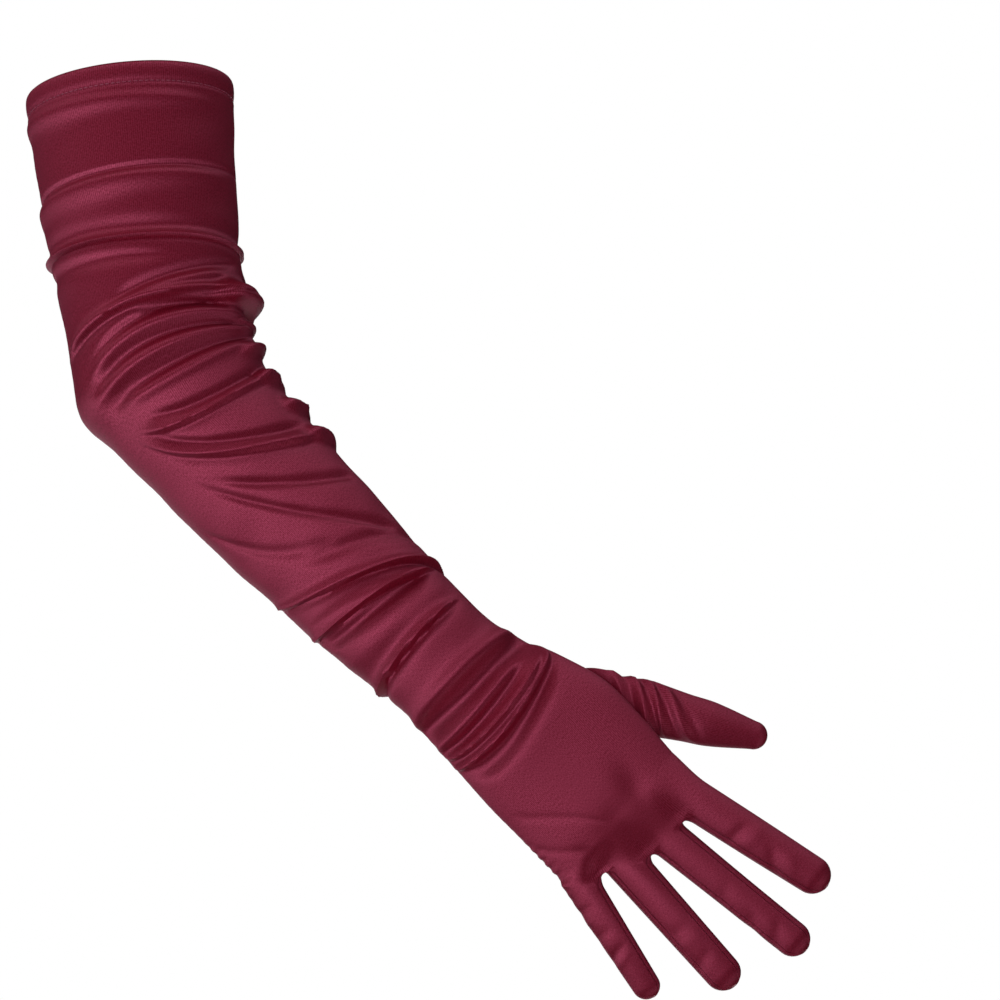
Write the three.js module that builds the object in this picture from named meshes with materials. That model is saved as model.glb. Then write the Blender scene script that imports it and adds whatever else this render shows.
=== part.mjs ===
// A long satin evening glove for the right hand, in the shape that it has when worn: the sleeve
// bunched over a bent elbow, the wrist gathered and the fingers spread, with nothing inside.
// It is sewn from six pieces of cloth. The trank is the sleeve, the palm and both faces of the
// fingers in one cut. A fourchette is let in between each two fingers, the thumb is a sleeve of
// its own, and the arm opening ends in a turned hem.
// Millimetres, +Z up. The origin is the middle of the arm opening, the back of the hand faces -Y
// and the fingers point down towards +X.
import * as THREE from "three";

// Driving dimensions
const SLEEVE_LENGTH = 340; // hem to wrist, along the middle of the arm
const PALM_LENGTH = 80; // wrist to knuckles
const UPPER_ARM_HALF = 45; // half widths
const FOREARM_HALF = 35;
const WRIST_HALF = 29;
const HAND_HALF = 38;
const LITTLE_LENGTH = 60.5; // fingers, from the fork to the tip
const RING_LENGTH = 73.5;
const MIDDLE_LENGTH = 80.5;
const INDEX_LENGTH = 69.5;
const LITTLE_HALF = 7.9; // half widths at the fork
const RING_HALF = 9.2;
const MIDDLE_HALF = 8.9;
const INDEX_HALF = 9.2;
const FORK_WIDTH = 2.9; // between two fingers, at their fork
const FINGERS_SHIFT = -0.026; // the row of fingers off the hand's middle, as a share of its half width
const THUMB_LENGTH = 56; // from its root to the tip
const THUMB_HALF = 10.4;
const CLOTH = 1.2; // one layer of satin
const HEM_DEPTH = 10.4;
const HEM_CLOTH = 2.4; // the turned hem is two layers
const SEAM_GAP = 0.3; // between two pieces at a seam
const SHARPEST_SEAM = 0.2; // the sine of half the sharpest turn that a seam's gap still follows

// Fineness of the cloth
const FINGER_COLUMNS = 3; // across one face of a finger
const COLUMNS = 8 * FINGER_COLUMNS; // round the sleeve: two faces of four fingers
const FOURCHETTE_COLUMNS = 2;
const HEM_ROWS = 2;
const SLEEVE_ROWS = 76;
const PALM_ROWS = 10;
const FORK_ROWS = 3; // from the knuckles to the forks
const FINGER_ROWS = 5; // from the forks to where the tips begin to round
const THUMB_ROOT_ROWS = 3;
const THUMB_ROWS = 4;
const TIP_TURNS = [30, 55, 75]; // degrees that the rows of a round tip have turned inwards

const SATIN = { color: 0x6d1f33, roughness: 0.45, metalness: 0 };

// The form of the arm and the hand. at is 0 at the hem, 1 at the wrist and 2 at the knuckles. bend
// and lean are degrees that the middle line turns from straight down, towards +X and towards -Y.
// The other columns are half sizes on the four sides, as shares of the half width named by like.
const SECTIONS = [
  { at: 0, like: UPPER_ARM_HALF, bend: 5.8, lean: 14, ulnar: 1.06, back: 0.98, radial: 1.06, palm: 0.98 },
  { at: 0.06, like: UPPER_ARM_HALF, bend: 5.8, lean: 14, ulnar: 1.03, back: 0.96, radial: 1.02, palm: 0.97 },
  { at: 0.14, like: UPPER_ARM_HALF, bend: 5.8, lean: 14, ulnar: 0.99, back: 0.95, radial: 0.995, palm: 0.96 },
  { at: 0.22, like: UPPER_ARM_HALF, bend: 5.8, lean: 14, ulnar: 0.945, back: 0.94, radial: 0.97, palm: 0.95 },
  { at: 0.28, like: UPPER_ARM_HALF, bend: 5.8, lean: 14, ulnar: 0.893, back: 0.93, radial: 0.956, palm: 0.94 },
  { at: 0.335, like: UPPER_ARM_HALF, bend: 10.4, lean: 13.8, ulnar: 0.847, back: 0.92, radial: 0.973, palm: 0.92 },
  { at: 0.39, like: UPPER_ARM_HALF, bend: 22.5, lean: 12.6, ulnar: 0.88, back: 0.88, radial: 0.973, palm: 0.88 },
  { at: 0.444, like: FOREARM_HALF, bend: 36, lean: 9.7, ulnar: 1.03, back: 1.07, radial: 1.21, palm: 1.08 },
  { at: 0.498, like: FOREARM_HALF, bend: 44.9, lean: 6.5, ulnar: 0.995, back: 1, radial: 1.11, palm: 1.02 },
  { at: 0.55, like: FOREARM_HALF, bend: 45.6, lean: 4.3, ulnar: 1.005, back: 0.96, radial: 1.07, palm: 0.98 },
  { at: 0.63, like: FOREARM_HALF, bend: 45.6, lean: 4, ulnar: 0.99, back: 0.9, radial: 0.995, palm: 0.93 },
  { at: 0.71, like: FOREARM_HALF, bend: 45.6, lean: 4, ulnar: 0.96, back: 0.84, radial: 0.96, palm: 0.87 },
  { at: 0.79, like: FOREARM_HALF, bend: 45.7, lean: 4, ulnar: 0.915, back: 0.77, radial: 0.89, palm: 0.8 },
  { at: 0.842, like: WRIST_HALF, bend: 46.3, lean: 3.8, ulnar: 1.045, back: 0.86, radial: 1.015, palm: 0.9 },
  { at: 0.895, like: WRIST_HALF, bend: 47.1, lean: 2.7, ulnar: 0.99, back: 0.78, radial: 0.995, palm: 0.83 },
  { at: 0.947, like: WRIST_HALF, bend: 47.9, lean: 1.2, ulnar: 0.973, back: 0.7, radial: 0.99, palm: 0.77 },
  { at: 1, like: WRIST_HALF, bend: 48.4, lean: 0, ulnar: 1.024, back: 0.64, radial: 1.14, palm: 0.75 },
  { at: 1.22, like: HAND_HALF, bend: 48.5, lean: 0, ulnar: 0.842, back: 0.44, radial: 1.02, palm: 0.53 },
  { at: 1.45, like: HAND_HALF, bend: 48.5, lean: 0, ulnar: 0.9, back: 0.39, radial: 1.12, palm: 0.5 },
  { at: 1.67, like: HAND_HALF, bend: 48.5, lean: 0, ulnar: 0.93, back: 0.36, radial: 1.1, palm: 0.46 },
  { at: 2, like: HAND_HALF, bend: 48.5, lean: 0, ulnar: 0.985, back: 0.33, radial: 1.01, palm: 0.39 },
];

// The folds of the sleeve and the hand, from the hem down. at and turn are the middle of a fold's
// line, turn being 0 at the ulnar seam and a quarter on the back. reach is half its length in
// turns. slant and bow are how far the line drops and curves over a quarter turn, and spread is
// its half width, all as shares of the sleeve's length. rise is its height as a share of the upper
// arm's half width, and a valley's is negative.
const FOLDS = [
  // under the hem, and the two tucks round the upper arm
  { at: 0.048, turn: 0.16, reach: 1, slant: 0.008, bow: 0, rise: 0.022, spread: 0.013 },
  { at: 0.144, turn: 0.24, reach: 0.36, slant: -0.008, bow: -0.002, rise: -0.035, spread: 0.012 },
  { at: 0.166, turn: 0.1, reach: 0.36, slant: -0.004, bow: -0.006, rise: 0.05, spread: 0.014 },
  { at: 0.238, turn: 0.25, reach: 0.42, slant: 0.006, bow: -0.004, rise: 0.06, spread: 0.011 },
  { at: 0.262, turn: 0.25, reach: 0.4, slant: 0.006, bow: -0.004, rise: -0.035, spread: 0.012 },
  // the roll over the elbow and the folds that fan out below it from the inside of the bend
  { at: 0.294, turn: 0.31, reach: 0.14, slant: -0.06, bow: 0.01, rise: -0.03, spread: 0.011 },
  { at: 0.319, turn: 0.3, reach: 0.3, slant: -0.033, bow: 0.004, rise: 0.085, spread: 0.012 },
  { at: 0.321, turn: 0.5, reach: 0.13, slant: 0, bow: 0, rise: 0.1, spread: 0.016 },
  { at: 0.338, turn: 0.27, reach: 0.2, slant: -0.03, bow: 0.012, rise: -0.06, spread: 0.009 },
  { at: 0.346, turn: 0.33, reach: 0.19, slant: -0.019, bow: 0.05, rise: 0.035, spread: 0.011 },
  { at: 0.369, turn: 0.31, reach: 0.18, slant: -0.016, bow: 0.036, rise: -0.045, spread: 0.01 },
  { at: 0.388, turn: 0.31, reach: 0.2, slant: -0.017, bow: 0.02, rise: 0.05, spread: 0.011 },
  { at: 0.411, turn: 0.31, reach: 0.17, slant: 0, bow: 0.014, rise: -0.05, spread: 0.01 },
  { at: 0.43, turn: 0.3, reach: 0.13, slant: 0.014, bow: 0.02, rise: 0.04, spread: 0.011 },
  { at: 0.45, turn: 0.5, reach: 0.1, slant: 0, bow: 0, rise: 0.07, spread: 0.014 },
  { at: 0.472, turn: 0.33, reach: 0.15, slant: 0.04, bow: -0.013, rise: -0.035, spread: 0.011 },
  { at: 0.49, turn: 0.31, reach: 0.13, slant: 0.035, bow: 0, rise: 0.04, spread: 0.011 },
  { at: 0.512, turn: 0.5, reach: 0.09, slant: 0.04, bow: 0, rise: 0.09, spread: 0.011 },
  { at: 0.546, turn: 0.27, reach: 0.17, slant: 0.13, bow: -0.07, rise: -0.04, spread: 0.014 },
  { at: 0.569, turn: 0.3, reach: 0.2, slant: 0.11, bow: -0.06, rise: 0.055, spread: 0.014 },
  { at: 0.562, turn: 0.5, reach: 0.08, slant: 0.05, bow: 0, rise: 0.09, spread: 0.011 },
  { at: 0.594, turn: 0.3, reach: 0.16, slant: 0.117, bow: -0.08, rise: -0.035, spread: 0.014 },
  { at: 0.612, turn: 0.5, reach: 0.08, slant: 0.05, bow: 0, rise: 0.1, spread: 0.011 },
  // the long slack stretch of the forearm
  { at: 0.642, turn: 0.33, reach: 0.14, slant: 0.11, bow: -0.08, rise: -0.03, spread: 0.016 },
  { at: 0.694, turn: 0.31, reach: 0.14, slant: 0.18, bow: -0.1, rise: -0.03, spread: 0.016 },
  { at: 0.683, turn: 0.18, reach: 0.12, slant: 0.15, bow: -0.1, rise: -0.025, spread: 0.016 },
  // the bunched cloth above the wrist
  { at: 0.756, turn: 0.06, reach: 0.2, slant: 0.03, bow: 0, rise: 0.045, spread: 0.012 },
  { at: 0.775, turn: 0.36, reach: 0.26, slant: 0.07, bow: -0.02, rise: 0.06, spread: 0.012 },
  { at: 0.796, turn: 0.28, reach: 0.24, slant: 0.056, bow: -0.004, rise: -0.06, spread: 0.01 },
  { at: 0.812, turn: 0.2, reach: 0.24, slant: 0.03, bow: 0.008, rise: 0.06, spread: 0.011 },
  { at: 0.834, turn: 0.2, reach: 0.22, slant: 0.027, bow: -0.01, rise: -0.06, spread: 0.011 },
  { at: 0.886, turn: 0.22, reach: 0.24, slant: -0.004, bow: -0.003, rise: 0.06, spread: 0.012 },
  { at: 0.907, turn: 0.22, reach: 0.22, slant: 0, bow: 0, rise: -0.045, spread: 0.011 },
  { at: 0.95, turn: 0.25, reach: 0.3, slant: 0.003, bow: 0.02, rise: 0.045, spread: 0.012 },
  { at: 0.98, turn: 0.26, reach: 0.26, slant: 0.009, bow: 0.005, rise: -0.06, spread: 0.018 },
  // the tucks at the root of the hand, bowed round its thumb side
  { at: 1.04, turn: 0.14, reach: 0.2, slant: 0.011, bow: -0.013, rise: 0.045, spread: 0.012 },
  { at: 1.11, turn: 0.21, reach: 0.2, slant: 0.012, bow: -0.024, rise: -0.03, spread: 0.01 },
  { at: 1.2, turn: 0.22, reach: 0.26, slant: 0.003, bow: -0.024, rise: 0.06, spread: 0.013 },
  { at: 1.29, turn: 0.23, reach: 0.2, slant: 0.014, bow: -0.036, rise: -0.04, spread: 0.012 },
  // the hollows between the knuckles
  { at: 1.82, turn: 0.375, reach: 0.07, slant: 0, bow: 0, rise: -0.05, spread: 0.03 },
  { at: 1.8, turn: 0.25, reach: 0.07, slant: 0, bow: 0, rise: -0.05, spread: 0.03 },
  { at: 1.78, turn: 0.12, reach: 0.07, slant: 0, bow: 0, rise: -0.03, spread: 0.03 },
  // the inner side of the sleeve
  { at: 0.2, turn: 0.76, reach: 0.2, slant: 0.01, bow: -0.01, rise: -0.04, spread: 0.014 },
  { at: 0.3, turn: 0.72, reach: 0.26, slant: 0.02, bow: -0.01, rise: 0.06, spread: 0.014 },
  { at: 0.335, turn: 0.7, reach: 0.22, slant: 0.02, bow: -0.02, rise: -0.05, spread: 0.012 },
  { at: 0.37, turn: 0.68, reach: 0.22, slant: 0.02, bow: -0.03, rise: 0.06, spread: 0.013 },
  { at: 0.41, turn: 0.67, reach: 0.2, slant: -0.02, bow: -0.03, rise: -0.05, spread: 0.013 },
  { at: 0.47, turn: 0.68, reach: 0.2, slant: -0.05, bow: 0.03, rise: -0.05, spread: 0.013 },
  { at: 0.51, turn: 0.68, reach: 0.2, slant: -0.06, bow: 0.04, rise: 0.05, spread: 0.013 },
  { at: 0.58, turn: 0.7, reach: 0.18, slant: -0.08, bow: 0.05, rise: 0.045, spread: 0.014 },
  { at: 0.67, turn: 0.74, reach: 0.18, slant: -0.08, bow: 0.04, rise: -0.04, spread: 0.015 },
  { at: 0.76, turn: 0.74, reach: 0.22, slant: -0.05, bow: 0.02, rise: 0.055, spread: 0.013 },
  { at: 0.795, turn: 0.74, reach: 0.2, slant: -0.05, bow: 0.02, rise: -0.05, spread: 0.012 },
  { at: 0.86, turn: 0.75, reach: 0.24, slant: 0.02, bow: -0.01, rise: 0.05, spread: 0.013 },
  { at: 0.92, turn: 0.75, reach: 0.2, slant: 0.02, bow: -0.01, rise: 0.045, spread: 0.013 },
  { at: 0.98, turn: 0.75, reach: 0.2, slant: -0.01, bow: 0.01, rise: -0.04, spread: 0.013 },
];

// The fingers from the little one up. spread is the way it points, in degrees towards the thumb,
// and curl how far its tip drops towards the palm, as a share of its length. fork_ulnar and
// fork_radial are how far past the knuckles its two sides leave the hand, as shares of the palm's
// length. waist and tip are half widths as shares of the one at the fork.
const FINGERS = [
  { name: "little", half: LITTLE_HALF, length: LITTLE_LENGTH, spread: -16, curl: 0.07,
    fork_ulnar: 0.06, fork_radial: 0.15, waist: 0.9, tip: 0.8 },
  { name: "ring", half: RING_HALF, length: RING_LENGTH, spread: -6.9, curl: 0.05,
    fork_ulnar: 0.15, fork_radial: 0.285, waist: 0.95, tip: 0.9 },
  { name: "middle", half: MIDDLE_HALF, length: MIDDLE_LENGTH, spread: 2.5, curl: 0.04,
    fork_ulnar: 0.285, fork_radial: 0.295, waist: 0.93, tip: 0.9 },
  { name: "index", half: INDEX_HALF, length: INDEX_LENGTH, spread: 8.8, curl: 0.05,
    fork_ulnar: 0.295, fork_radial: 0.28, waist: 0.98, tip: 0.93 },
];
const FINGER_FLATNESS = 0.92; // thickness over width
const FOURCHETTE_REACH = 40; // degrees to each side of a finger's flank that a fourchette covers

// The thumb. The root is the middle of its first whole ring, in the hand's own directions: along
// as a share of the palm's length, across and depth as shares of the hand's half width.
const THUMB_ROOT = { along: 0.74, across: 1.2, depth: -0.4 };
const THUMB_SPREAD = 27;
const THUMB_DROP = 5; // degrees towards the palm
const THUMB_FORM = [
  { at: 0, half: 1.2 },
  { at: 0.35, half: 1.04 },
  { at: 0.6, half: 0.97 },
  { at: 1, half: 0.62 },
];
// The hole that the thumb is sewn into: from and to as shares of the palm's length, near and far
// as turns round the hand
const THUMB_HOLE = { from: 0.3, to: 0.9, near: 13 / 24, far: 16 / 24 };
// Degrees round the thumb at which the hole's corners arrive: the far side of the hand's edge, the
// near side of it, the near side of the palm and the far side of the palm
const THUMB_CORNERS = { edge_far: 35, edge_near: 145, palm_near: 215, palm_far: 325 };

const radians = THREE.MathUtils.degToRad;

function hermite(start, end, startSlope, endSlope, t) {
  const t2 = t * t;
  const t3 = t2 * t;
  return (
    start * (2 * t3 - 3 * t2 + 1) + startSlope * (t3 - 2 * t2 + t)
    + end * (3 * t2 - 2 * t3) + endSlope * (t3 - t2)
  );
}

// A column of a table at any place, as a smooth curve through its rows
function columnAt(table, column, at) {
  const last = table.length - 1;
  let i = 0;
  while (i < last - 1 && at > table[i + 1].at) i += 1;
  const slope = (k) => {
    const before = table[Math.max(k - 1, 0)];
    const after = table[Math.min(k + 1, last)];
    return (after[column] - before[column]) / (after.at - before.at);
  };
  const span = table[i + 1].at - table[i].at;
  const t = THREE.MathUtils.clamp((at - table[i].at) / span, 0, 1);
  return hermite(table[i][column], table[i + 1][column], slope(i) * span, slope(i + 1) * span, t);
}

const sections = SECTIONS.map((row) => ({
  at: row.at,
  bend: row.bend,
  lean: row.lean,
  ulnar: row.ulnar * row.like,
  back: row.back * row.like,
  radial: row.radial * row.like,
  palm: row.palm * row.like,
}));

const lengthTo = (at) => Math.min(at, 1) * SLEEVE_LENGTH + Math.max(at - 1, 0) * PALM_LENGTH;

function directionsAt(at) {
  const bend = radians(columnAt(sections, "bend", at));
  const lean = radians(columnAt(sections, "lean", at));
  const down = new THREE.Vector3(
    Math.sin(bend) * Math.cos(lean),
    -Math.sin(lean),
    -Math.cos(bend) * Math.cos(lean),
  );
  const side = new THREE.Vector3(Math.cos(bend), 0, Math.sin(bend));
  const front = down.clone().cross(side);
  return { down, side, front };
}

// The arm's middle line, walked from the hem down, with the directions across it at each place
function armFrames(places) {
  const centre = new THREE.Vector3();
  let last = 0;
  return places.map((at) => {
    const { down } = directionsAt((last + at) / 2);
    centre.addScaledVector(down, lengthTo(at) - lengthTo(last));
    last = at;
    return { at, centre: centre.clone(), ...directionsAt(at) };
  });
}

function steps(from, to, count) {
  return Array.from({ length: count }, (_, i) => from + ((to - from) * i) / count);
}

const HEM_END = HEM_DEPTH / SLEEVE_LENGTH;
const frames = armFrames([
  ...steps(0, HEM_END, HEM_ROWS),
  ...steps(HEM_END, 1, SLEEVE_ROWS),
  ...steps(1, 2, PALM_ROWS),
  2,
]);
const hand = frames[frames.length - 1];
const wrist = frames[HEM_ROWS + SLEEVE_ROWS];

const FOLD_FADE = 0.4; // the share of a fold's half length over which it dies away

// How far the folds lift the cloth at a place
function foldHeight(at, turn) {
  return FOLDS.reduce((height, fold) => {
    const round = THREE.MathUtils.euclideanModulo(turn - fold.turn + 0.5, 1) - 0.5;
    const quarters = round / 0.25;
    const line = lengthTo(fold.at) + (fold.slant * quarters + fold.bow * quarters ** 2) * SLEEVE_LENGTH;
    const away = (lengthTo(at) - line) / (fold.spread * SLEEVE_LENGTH);
    const fade = THREE.MathUtils.smoothstep(1 - Math.abs(round) / fold.reach, 0, FOLD_FADE);
    return height + fold.rise * UPPER_ARM_HALF * fade * Math.exp(-(away ** 2));
  }, 0);
}

// A point of the sleeve or the palm. turn is 0 at the ulnar seam, 0.25 on the back of the hand,
// 0.5 on the thumb's side and 0.75 on the palm. Towards the knuckles the columns of cloth shift
// until each finger has an equal share of them.
const EVEN_SHARE = Math.PI / 12;

function sleevePoint(frame, turn) {
  const { at, centre, side, front } = frame;
  const shift = EVEN_SHARE * THREE.MathUtils.smoothstep(at, 0.8, 1.6);
  const angle = 2 * Math.PI * turn + shift * Math.sin(4 * Math.PI * turn);
  const half = columnAt(sections, Math.cos(angle) > 0 ? "ulnar" : "radial", at);
  const depth = columnAt(sections, Math.sin(angle) > 0 ? "back" : "palm", at);
  const outwards = new THREE.Vector3()
    .addScaledVector(side, -Math.cos(angle) / half)
    .addScaledVector(front, Math.sin(angle) / depth)
    .normalize();
  return centre
    .clone()
    .addScaledVector(side, -Math.cos(angle) * half)
    .addScaledVector(front, Math.sin(angle) * depth)
    .addScaledVector(outwards, foldHeight(at, turn));
}

// The fingers stand side by side across the hand, with the width of a fork between them
function placeFingers() {
  const widths = FINGERS.reduce((sum, finger) => sum + 2 * finger.half, 0);
  let edge = FINGERS_SHIFT * HAND_HALF - (widths + FORK_WIDTH * (FINGERS.length - 1)) / 2;
  return FINGERS.map((finger, i) => {
    const across = edge + finger.half;
    edge += 2 * finger.half + FORK_WIDTH;
    const along = ((finger.fork_ulnar + finger.fork_radial) / 2) * PALM_LENGTH;
    const tilt = ((finger.fork_radial - finger.fork_ulnar) / 2) * PALM_LENGTH;
    const spread = radians(finger.spread);
    return {
      ...finger,
      tilt,
      centre: hand.centre.clone().addScaledVector(hand.down, along).addScaledVector(hand.side, across),
      down: hand.down.clone().multiplyScalar(Math.cos(spread)).addScaledVector(hand.side, Math.sin(spread)),
      side: hand.side.clone().multiplyScalar(Math.cos(spread)).addScaledVector(hand.down, -Math.sin(spread)),
      front: hand.front,
      start: i === 0 ? 0 : FOURCHETTE_REACH,
      end: i === FINGERS.length - 1 ? 180 : 180 - FOURCHETTE_REACH,
      form: [
        { at: 0, half: finger.half },
        { at: 0.5, half: finger.half * finger.waist },
        { at: 1, half: finger.half * finger.tip },
      ],
    };
  });
}

const fingers = placeFingers();

// A point of a finger or the thumb, on the ring at a distance from the root. angle is 0 on the
// ulnar flank, 90 on the back, 180 on the radial flank and 270 on the palm side.
function ringPoint(finger, out, half, angle) {
  const turn = radians(angle);
  const drop = finger.curl * out * (out / finger.length);
  return finger.centre
    .clone()
    .addScaledVector(finger.down, out)
    .addScaledVector(finger.side, -Math.cos(turn) * half)
    .addScaledVector(finger.front, Math.sin(turn) * half * FINGER_FLATNESS - drop);
}

function shaftPoint(finger, share, angle) {
  const start = -Math.cos(radians(angle)) * finger.tilt;
  const end = finger.length - finger.half * finger.tip;
  const out = start + (end - start) * share;
  return ringPoint(finger, out, columnAt(finger.form, "half", share), angle);
}

function tipPoint(finger, turn, angle) {
  const round = finger.half * finger.tip;
  const out = finger.length - round + round * Math.sin(radians(turn));
  return ringPoint(finger, out, round * Math.cos(radians(turn)), angle);
}

// The skin is the whole glove's outer surface as points and faces, before the pieces get their
// thickness. Each face knows the piece that it belongs to.
const points = [];
const faces = [];

function addPoint(point) {
  points.push(point);
  return points.length - 1;
}

function middleOf(a, b) {
  return a.clone().add(b).multiplyScalar(0.5);
}

// Faces between two closed rings of points. pieceOf names the piece of each step round the ring.
function joinRings(ring, next, pieceOf) {
  ring.forEach((_, k) => {
    const after = (k + 1) % ring.length;
    faces.push({ piece: pieceOf(k), corners: [ring[k], next[k], next[after], ring[after]] });
  });
}

function closeTip(ring, point, piece) {
  const tip = addPoint(point);
  ring.forEach((_, k) => {
    faces.push({ piece, corners: [ring[k], tip, ring[(k + 1) % ring.length]] });
  });
}

// The sleeve and the palm, as rows of columns
const hole = {
  top: HEM_ROWS + SLEEVE_ROWS + Math.round(THUMB_HOLE.from * PALM_ROWS),
  bottom: HEM_ROWS + SLEEVE_ROWS + Math.round(THUMB_HOLE.to * PALM_ROWS),
  near: Math.round(THUMB_HOLE.near * COLUMNS),
  far: Math.round(THUMB_HOLE.far * COLUMNS),
};
const rows = frames.map((frame) =>
  steps(0, 1, COLUMNS).map((turn) => addPoint(sleevePoint(frame, turn))),
);

function makeSleeve() {
  for (let row = 0; row < rows.length - 1; row += 1) {
    const piece = row < HEM_ROWS ? "hem" : "trank";
    for (let column = 0; column < COLUMNS; column += 1) {
      const inHole = row >= hole.top && row < hole.bottom && column >= hole.near && column < hole.far;
      if (inHole) continue;
      const next = (column + 1) % COLUMNS;
      faces.push({
        piece,
        corners: [rows[row][column], rows[row + 1][column], rows[row + 1][next], rows[row][next]],
      });
    }
  }
}

// The columns of cloth that a finger takes over from the hand, and the angle at which each arrives
function fingerColumns(i) {
  const finger = fingers[i];
  const list = [];
  for (let m = 0; m <= FINGER_COLUMNS; m += 1) {
    const angle = finger.start + ((finger.end - finger.start) * m) / FINGER_COLUMNS;
    const column = i * FINGER_COLUMNS + m;
    list.push({ column, angle });
    list.push({ column: (COLUMNS - column) % COLUMNS, angle: 360 - angle });
  }
  return list;
}

// From the knuckles to the forks the cloth is still one ring. Each column runs from the hand's
// direction to its finger's, and a column between two fingers takes the middle of both.
function makeForks() {
  const ends = Array.from({ length: COLUMNS }, () => []);
  fingers.forEach((finger, i) => {
    fingerColumns(i).forEach(({ column, angle }) => {
      ends[column].push({ point: shaftPoint(finger, 0, angle), down: finger.down });
    });
  });
  const knuckles = rows[rows.length - 1].map((index) => points[index]);
  const targets = ends.map((found) => {
    const first = found[0];
    const last = found[found.length - 1];
    return { point: middleOf(first.point, last.point), down: middleOf(first.down, last.down) };
  });
  let above = rows[rows.length - 1];
  for (let row = 1; row <= FORK_ROWS; row += 1) {
    const share = row / FORK_ROWS;
    const ring = targets.map((target, column) => {
      const start = knuckles[column];
      const reach = start.distanceTo(target.point);
      const blend = (axis) => hermite(
        start[axis], target.point[axis], hand.down[axis] * reach, target.down[axis] * reach, share,
      );
      return addPoint(new THREE.Vector3(blend("x"), blend("y"), blend("z")));
    });
    joinRings(above, ring, () => "trank");
    above = ring;
  }
  return above;
}

// The points of the cloth that crosses a fork, from the back of the hand to the palm
function makeWeb(i) {
  return Array.from({ length: FOURCHETTE_COLUMNS - 1 }, (_, m) => {
    const turn = (FOURCHETTE_REACH * 2 * (m + 1)) / FOURCHETTE_COLUMNS - FOURCHETTE_REACH;
    return addPoint(middleOf(
      shaftPoint(fingers[i], 0, 180 + turn),
      shaftPoint(fingers[i + 1], 0, -turn),
    ));
  });
}

function makeFingers(forkRing) {
  const webs = fingers.slice(1).map((_, i) => makeWeb(i));
  fingers.forEach((finger, i) => {
    const hasUlnar = i > 0;
    const hasRadial = i < fingers.length - 1;
    const ring = [];
    const angles = [];
    const pieces = [];
    const step = (index, angle, piece) => {
      ring.push(index);
      angles.push(angle);
      pieces.push(piece);
    };
    const firstColumn = i * FINGER_COLUMNS;
    const face = finger.end - finger.start;
    const flank = (2 * FOURCHETTE_REACH) / FOURCHETTE_COLUMNS;
    const fourchette = (k) => `fourchette_${fingers[k + 1].name}_${fingers[k].name}`;
    for (let m = 0; m < FINGER_COLUMNS; m += 1) {
      step(forkRing[firstColumn + m], finger.start + (face * m) / FINGER_COLUMNS, "trank");
    }
    if (hasRadial) {
      step(forkRing[firstColumn + FINGER_COLUMNS], finger.end, fourchette(i));
      webs[i].forEach((index, m) => step(index, finger.end + flank * (m + 1), fourchette(i)));
    }
    for (let m = FINGER_COLUMNS; m > 0; m -= 1) {
      const angle = 360 - finger.start - (face * m) / FINGER_COLUMNS;
      step(forkRing[COLUMNS - firstColumn - m], angle, "trank");
    }
    if (hasUlnar) {
      step(forkRing[COLUMNS - firstColumn], 360 - finger.start, fourchette(i - 1));
      [...webs[i - 1]].reverse().forEach((index, m) => {
        step(index, 360 - finger.start + flank * (m + 1), fourchette(i - 1));
      });
    }
    let above = ring;
    const grow = (place) => {
      const next = angles.map((angle) => addPoint(place(angle)));
      joinRings(above, next, (k) => pieces[k]);
      above = next;
    };
    for (let row = 1; row <= FINGER_ROWS; row += 1) {
      grow((angle) => shaftPoint(finger, row / FINGER_ROWS, angle));
    }
    TIP_TURNS.forEach((turn) => grow((angle) => tipPoint(finger, turn, angle)));
    closeTip(above, tipPoint(finger, 90, 0), "trank");
  });
}

// The thumb's directions, from its root to its tip
function placeThumb() {
  const spread = radians(THUMB_SPREAD);
  const drop = radians(THUMB_DROP);
  const flat = hand.down.clone().multiplyScalar(Math.cos(spread)).addScaledVector(hand.side, Math.sin(spread));
  const down = flat.multiplyScalar(Math.cos(drop)).addScaledVector(hand.front, -Math.sin(drop));
  const side = hand.side.clone().multiplyScalar(Math.cos(spread)).addScaledVector(hand.down, -Math.sin(spread));
  const centre = wrist.centre
    .clone()
    .addScaledVector(hand.down, THUMB_ROOT.along * PALM_LENGTH)
    .addScaledVector(hand.side, THUMB_ROOT.across * HAND_HALF)
    .addScaledVector(hand.front, THUMB_ROOT.depth * HAND_HALF);
  return {
    centre,
    down,
    side,
    front: down.clone().cross(side),
    length: THUMB_LENGTH,
    curl: 0,
    tilt: 0,
    half: THUMB_HALF,
    tip: THUMB_FORM[THUMB_FORM.length - 1].half,
    form: THUMB_FORM.map(({ at, half }) => ({ at, half: half * THUMB_HALF })),
  };
}

// The rim of the thumb's hole, from its far corner on the hand's edge back to the wrist, round the
// palm and home, with the angle at which each point reaches the thumb
function holeRim() {
  const { edge_far, edge_near, palm_near, palm_far } = THUMB_CORNERS;
  const { top, bottom, near, far } = hole;
  const rim = [];
  const run = (count, start, end, indexAt) => {
    for (let m = 0; m < count; m += 1) {
      rim.push({ index: indexAt(m), angle: start + ((end - start) * m) / count });
    }
  };
  run(bottom - top, edge_far, edge_near, (m) => rows[bottom - m][near]);
  run(far - near, edge_near, palm_near, (m) => rows[top][near + m]);
  run(bottom - top, palm_near, palm_far, (m) => rows[top + m][far]);
  run(far - near, palm_far, edge_far + 360, (m) => rows[bottom][far - m]);
  return rim;
}

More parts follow.
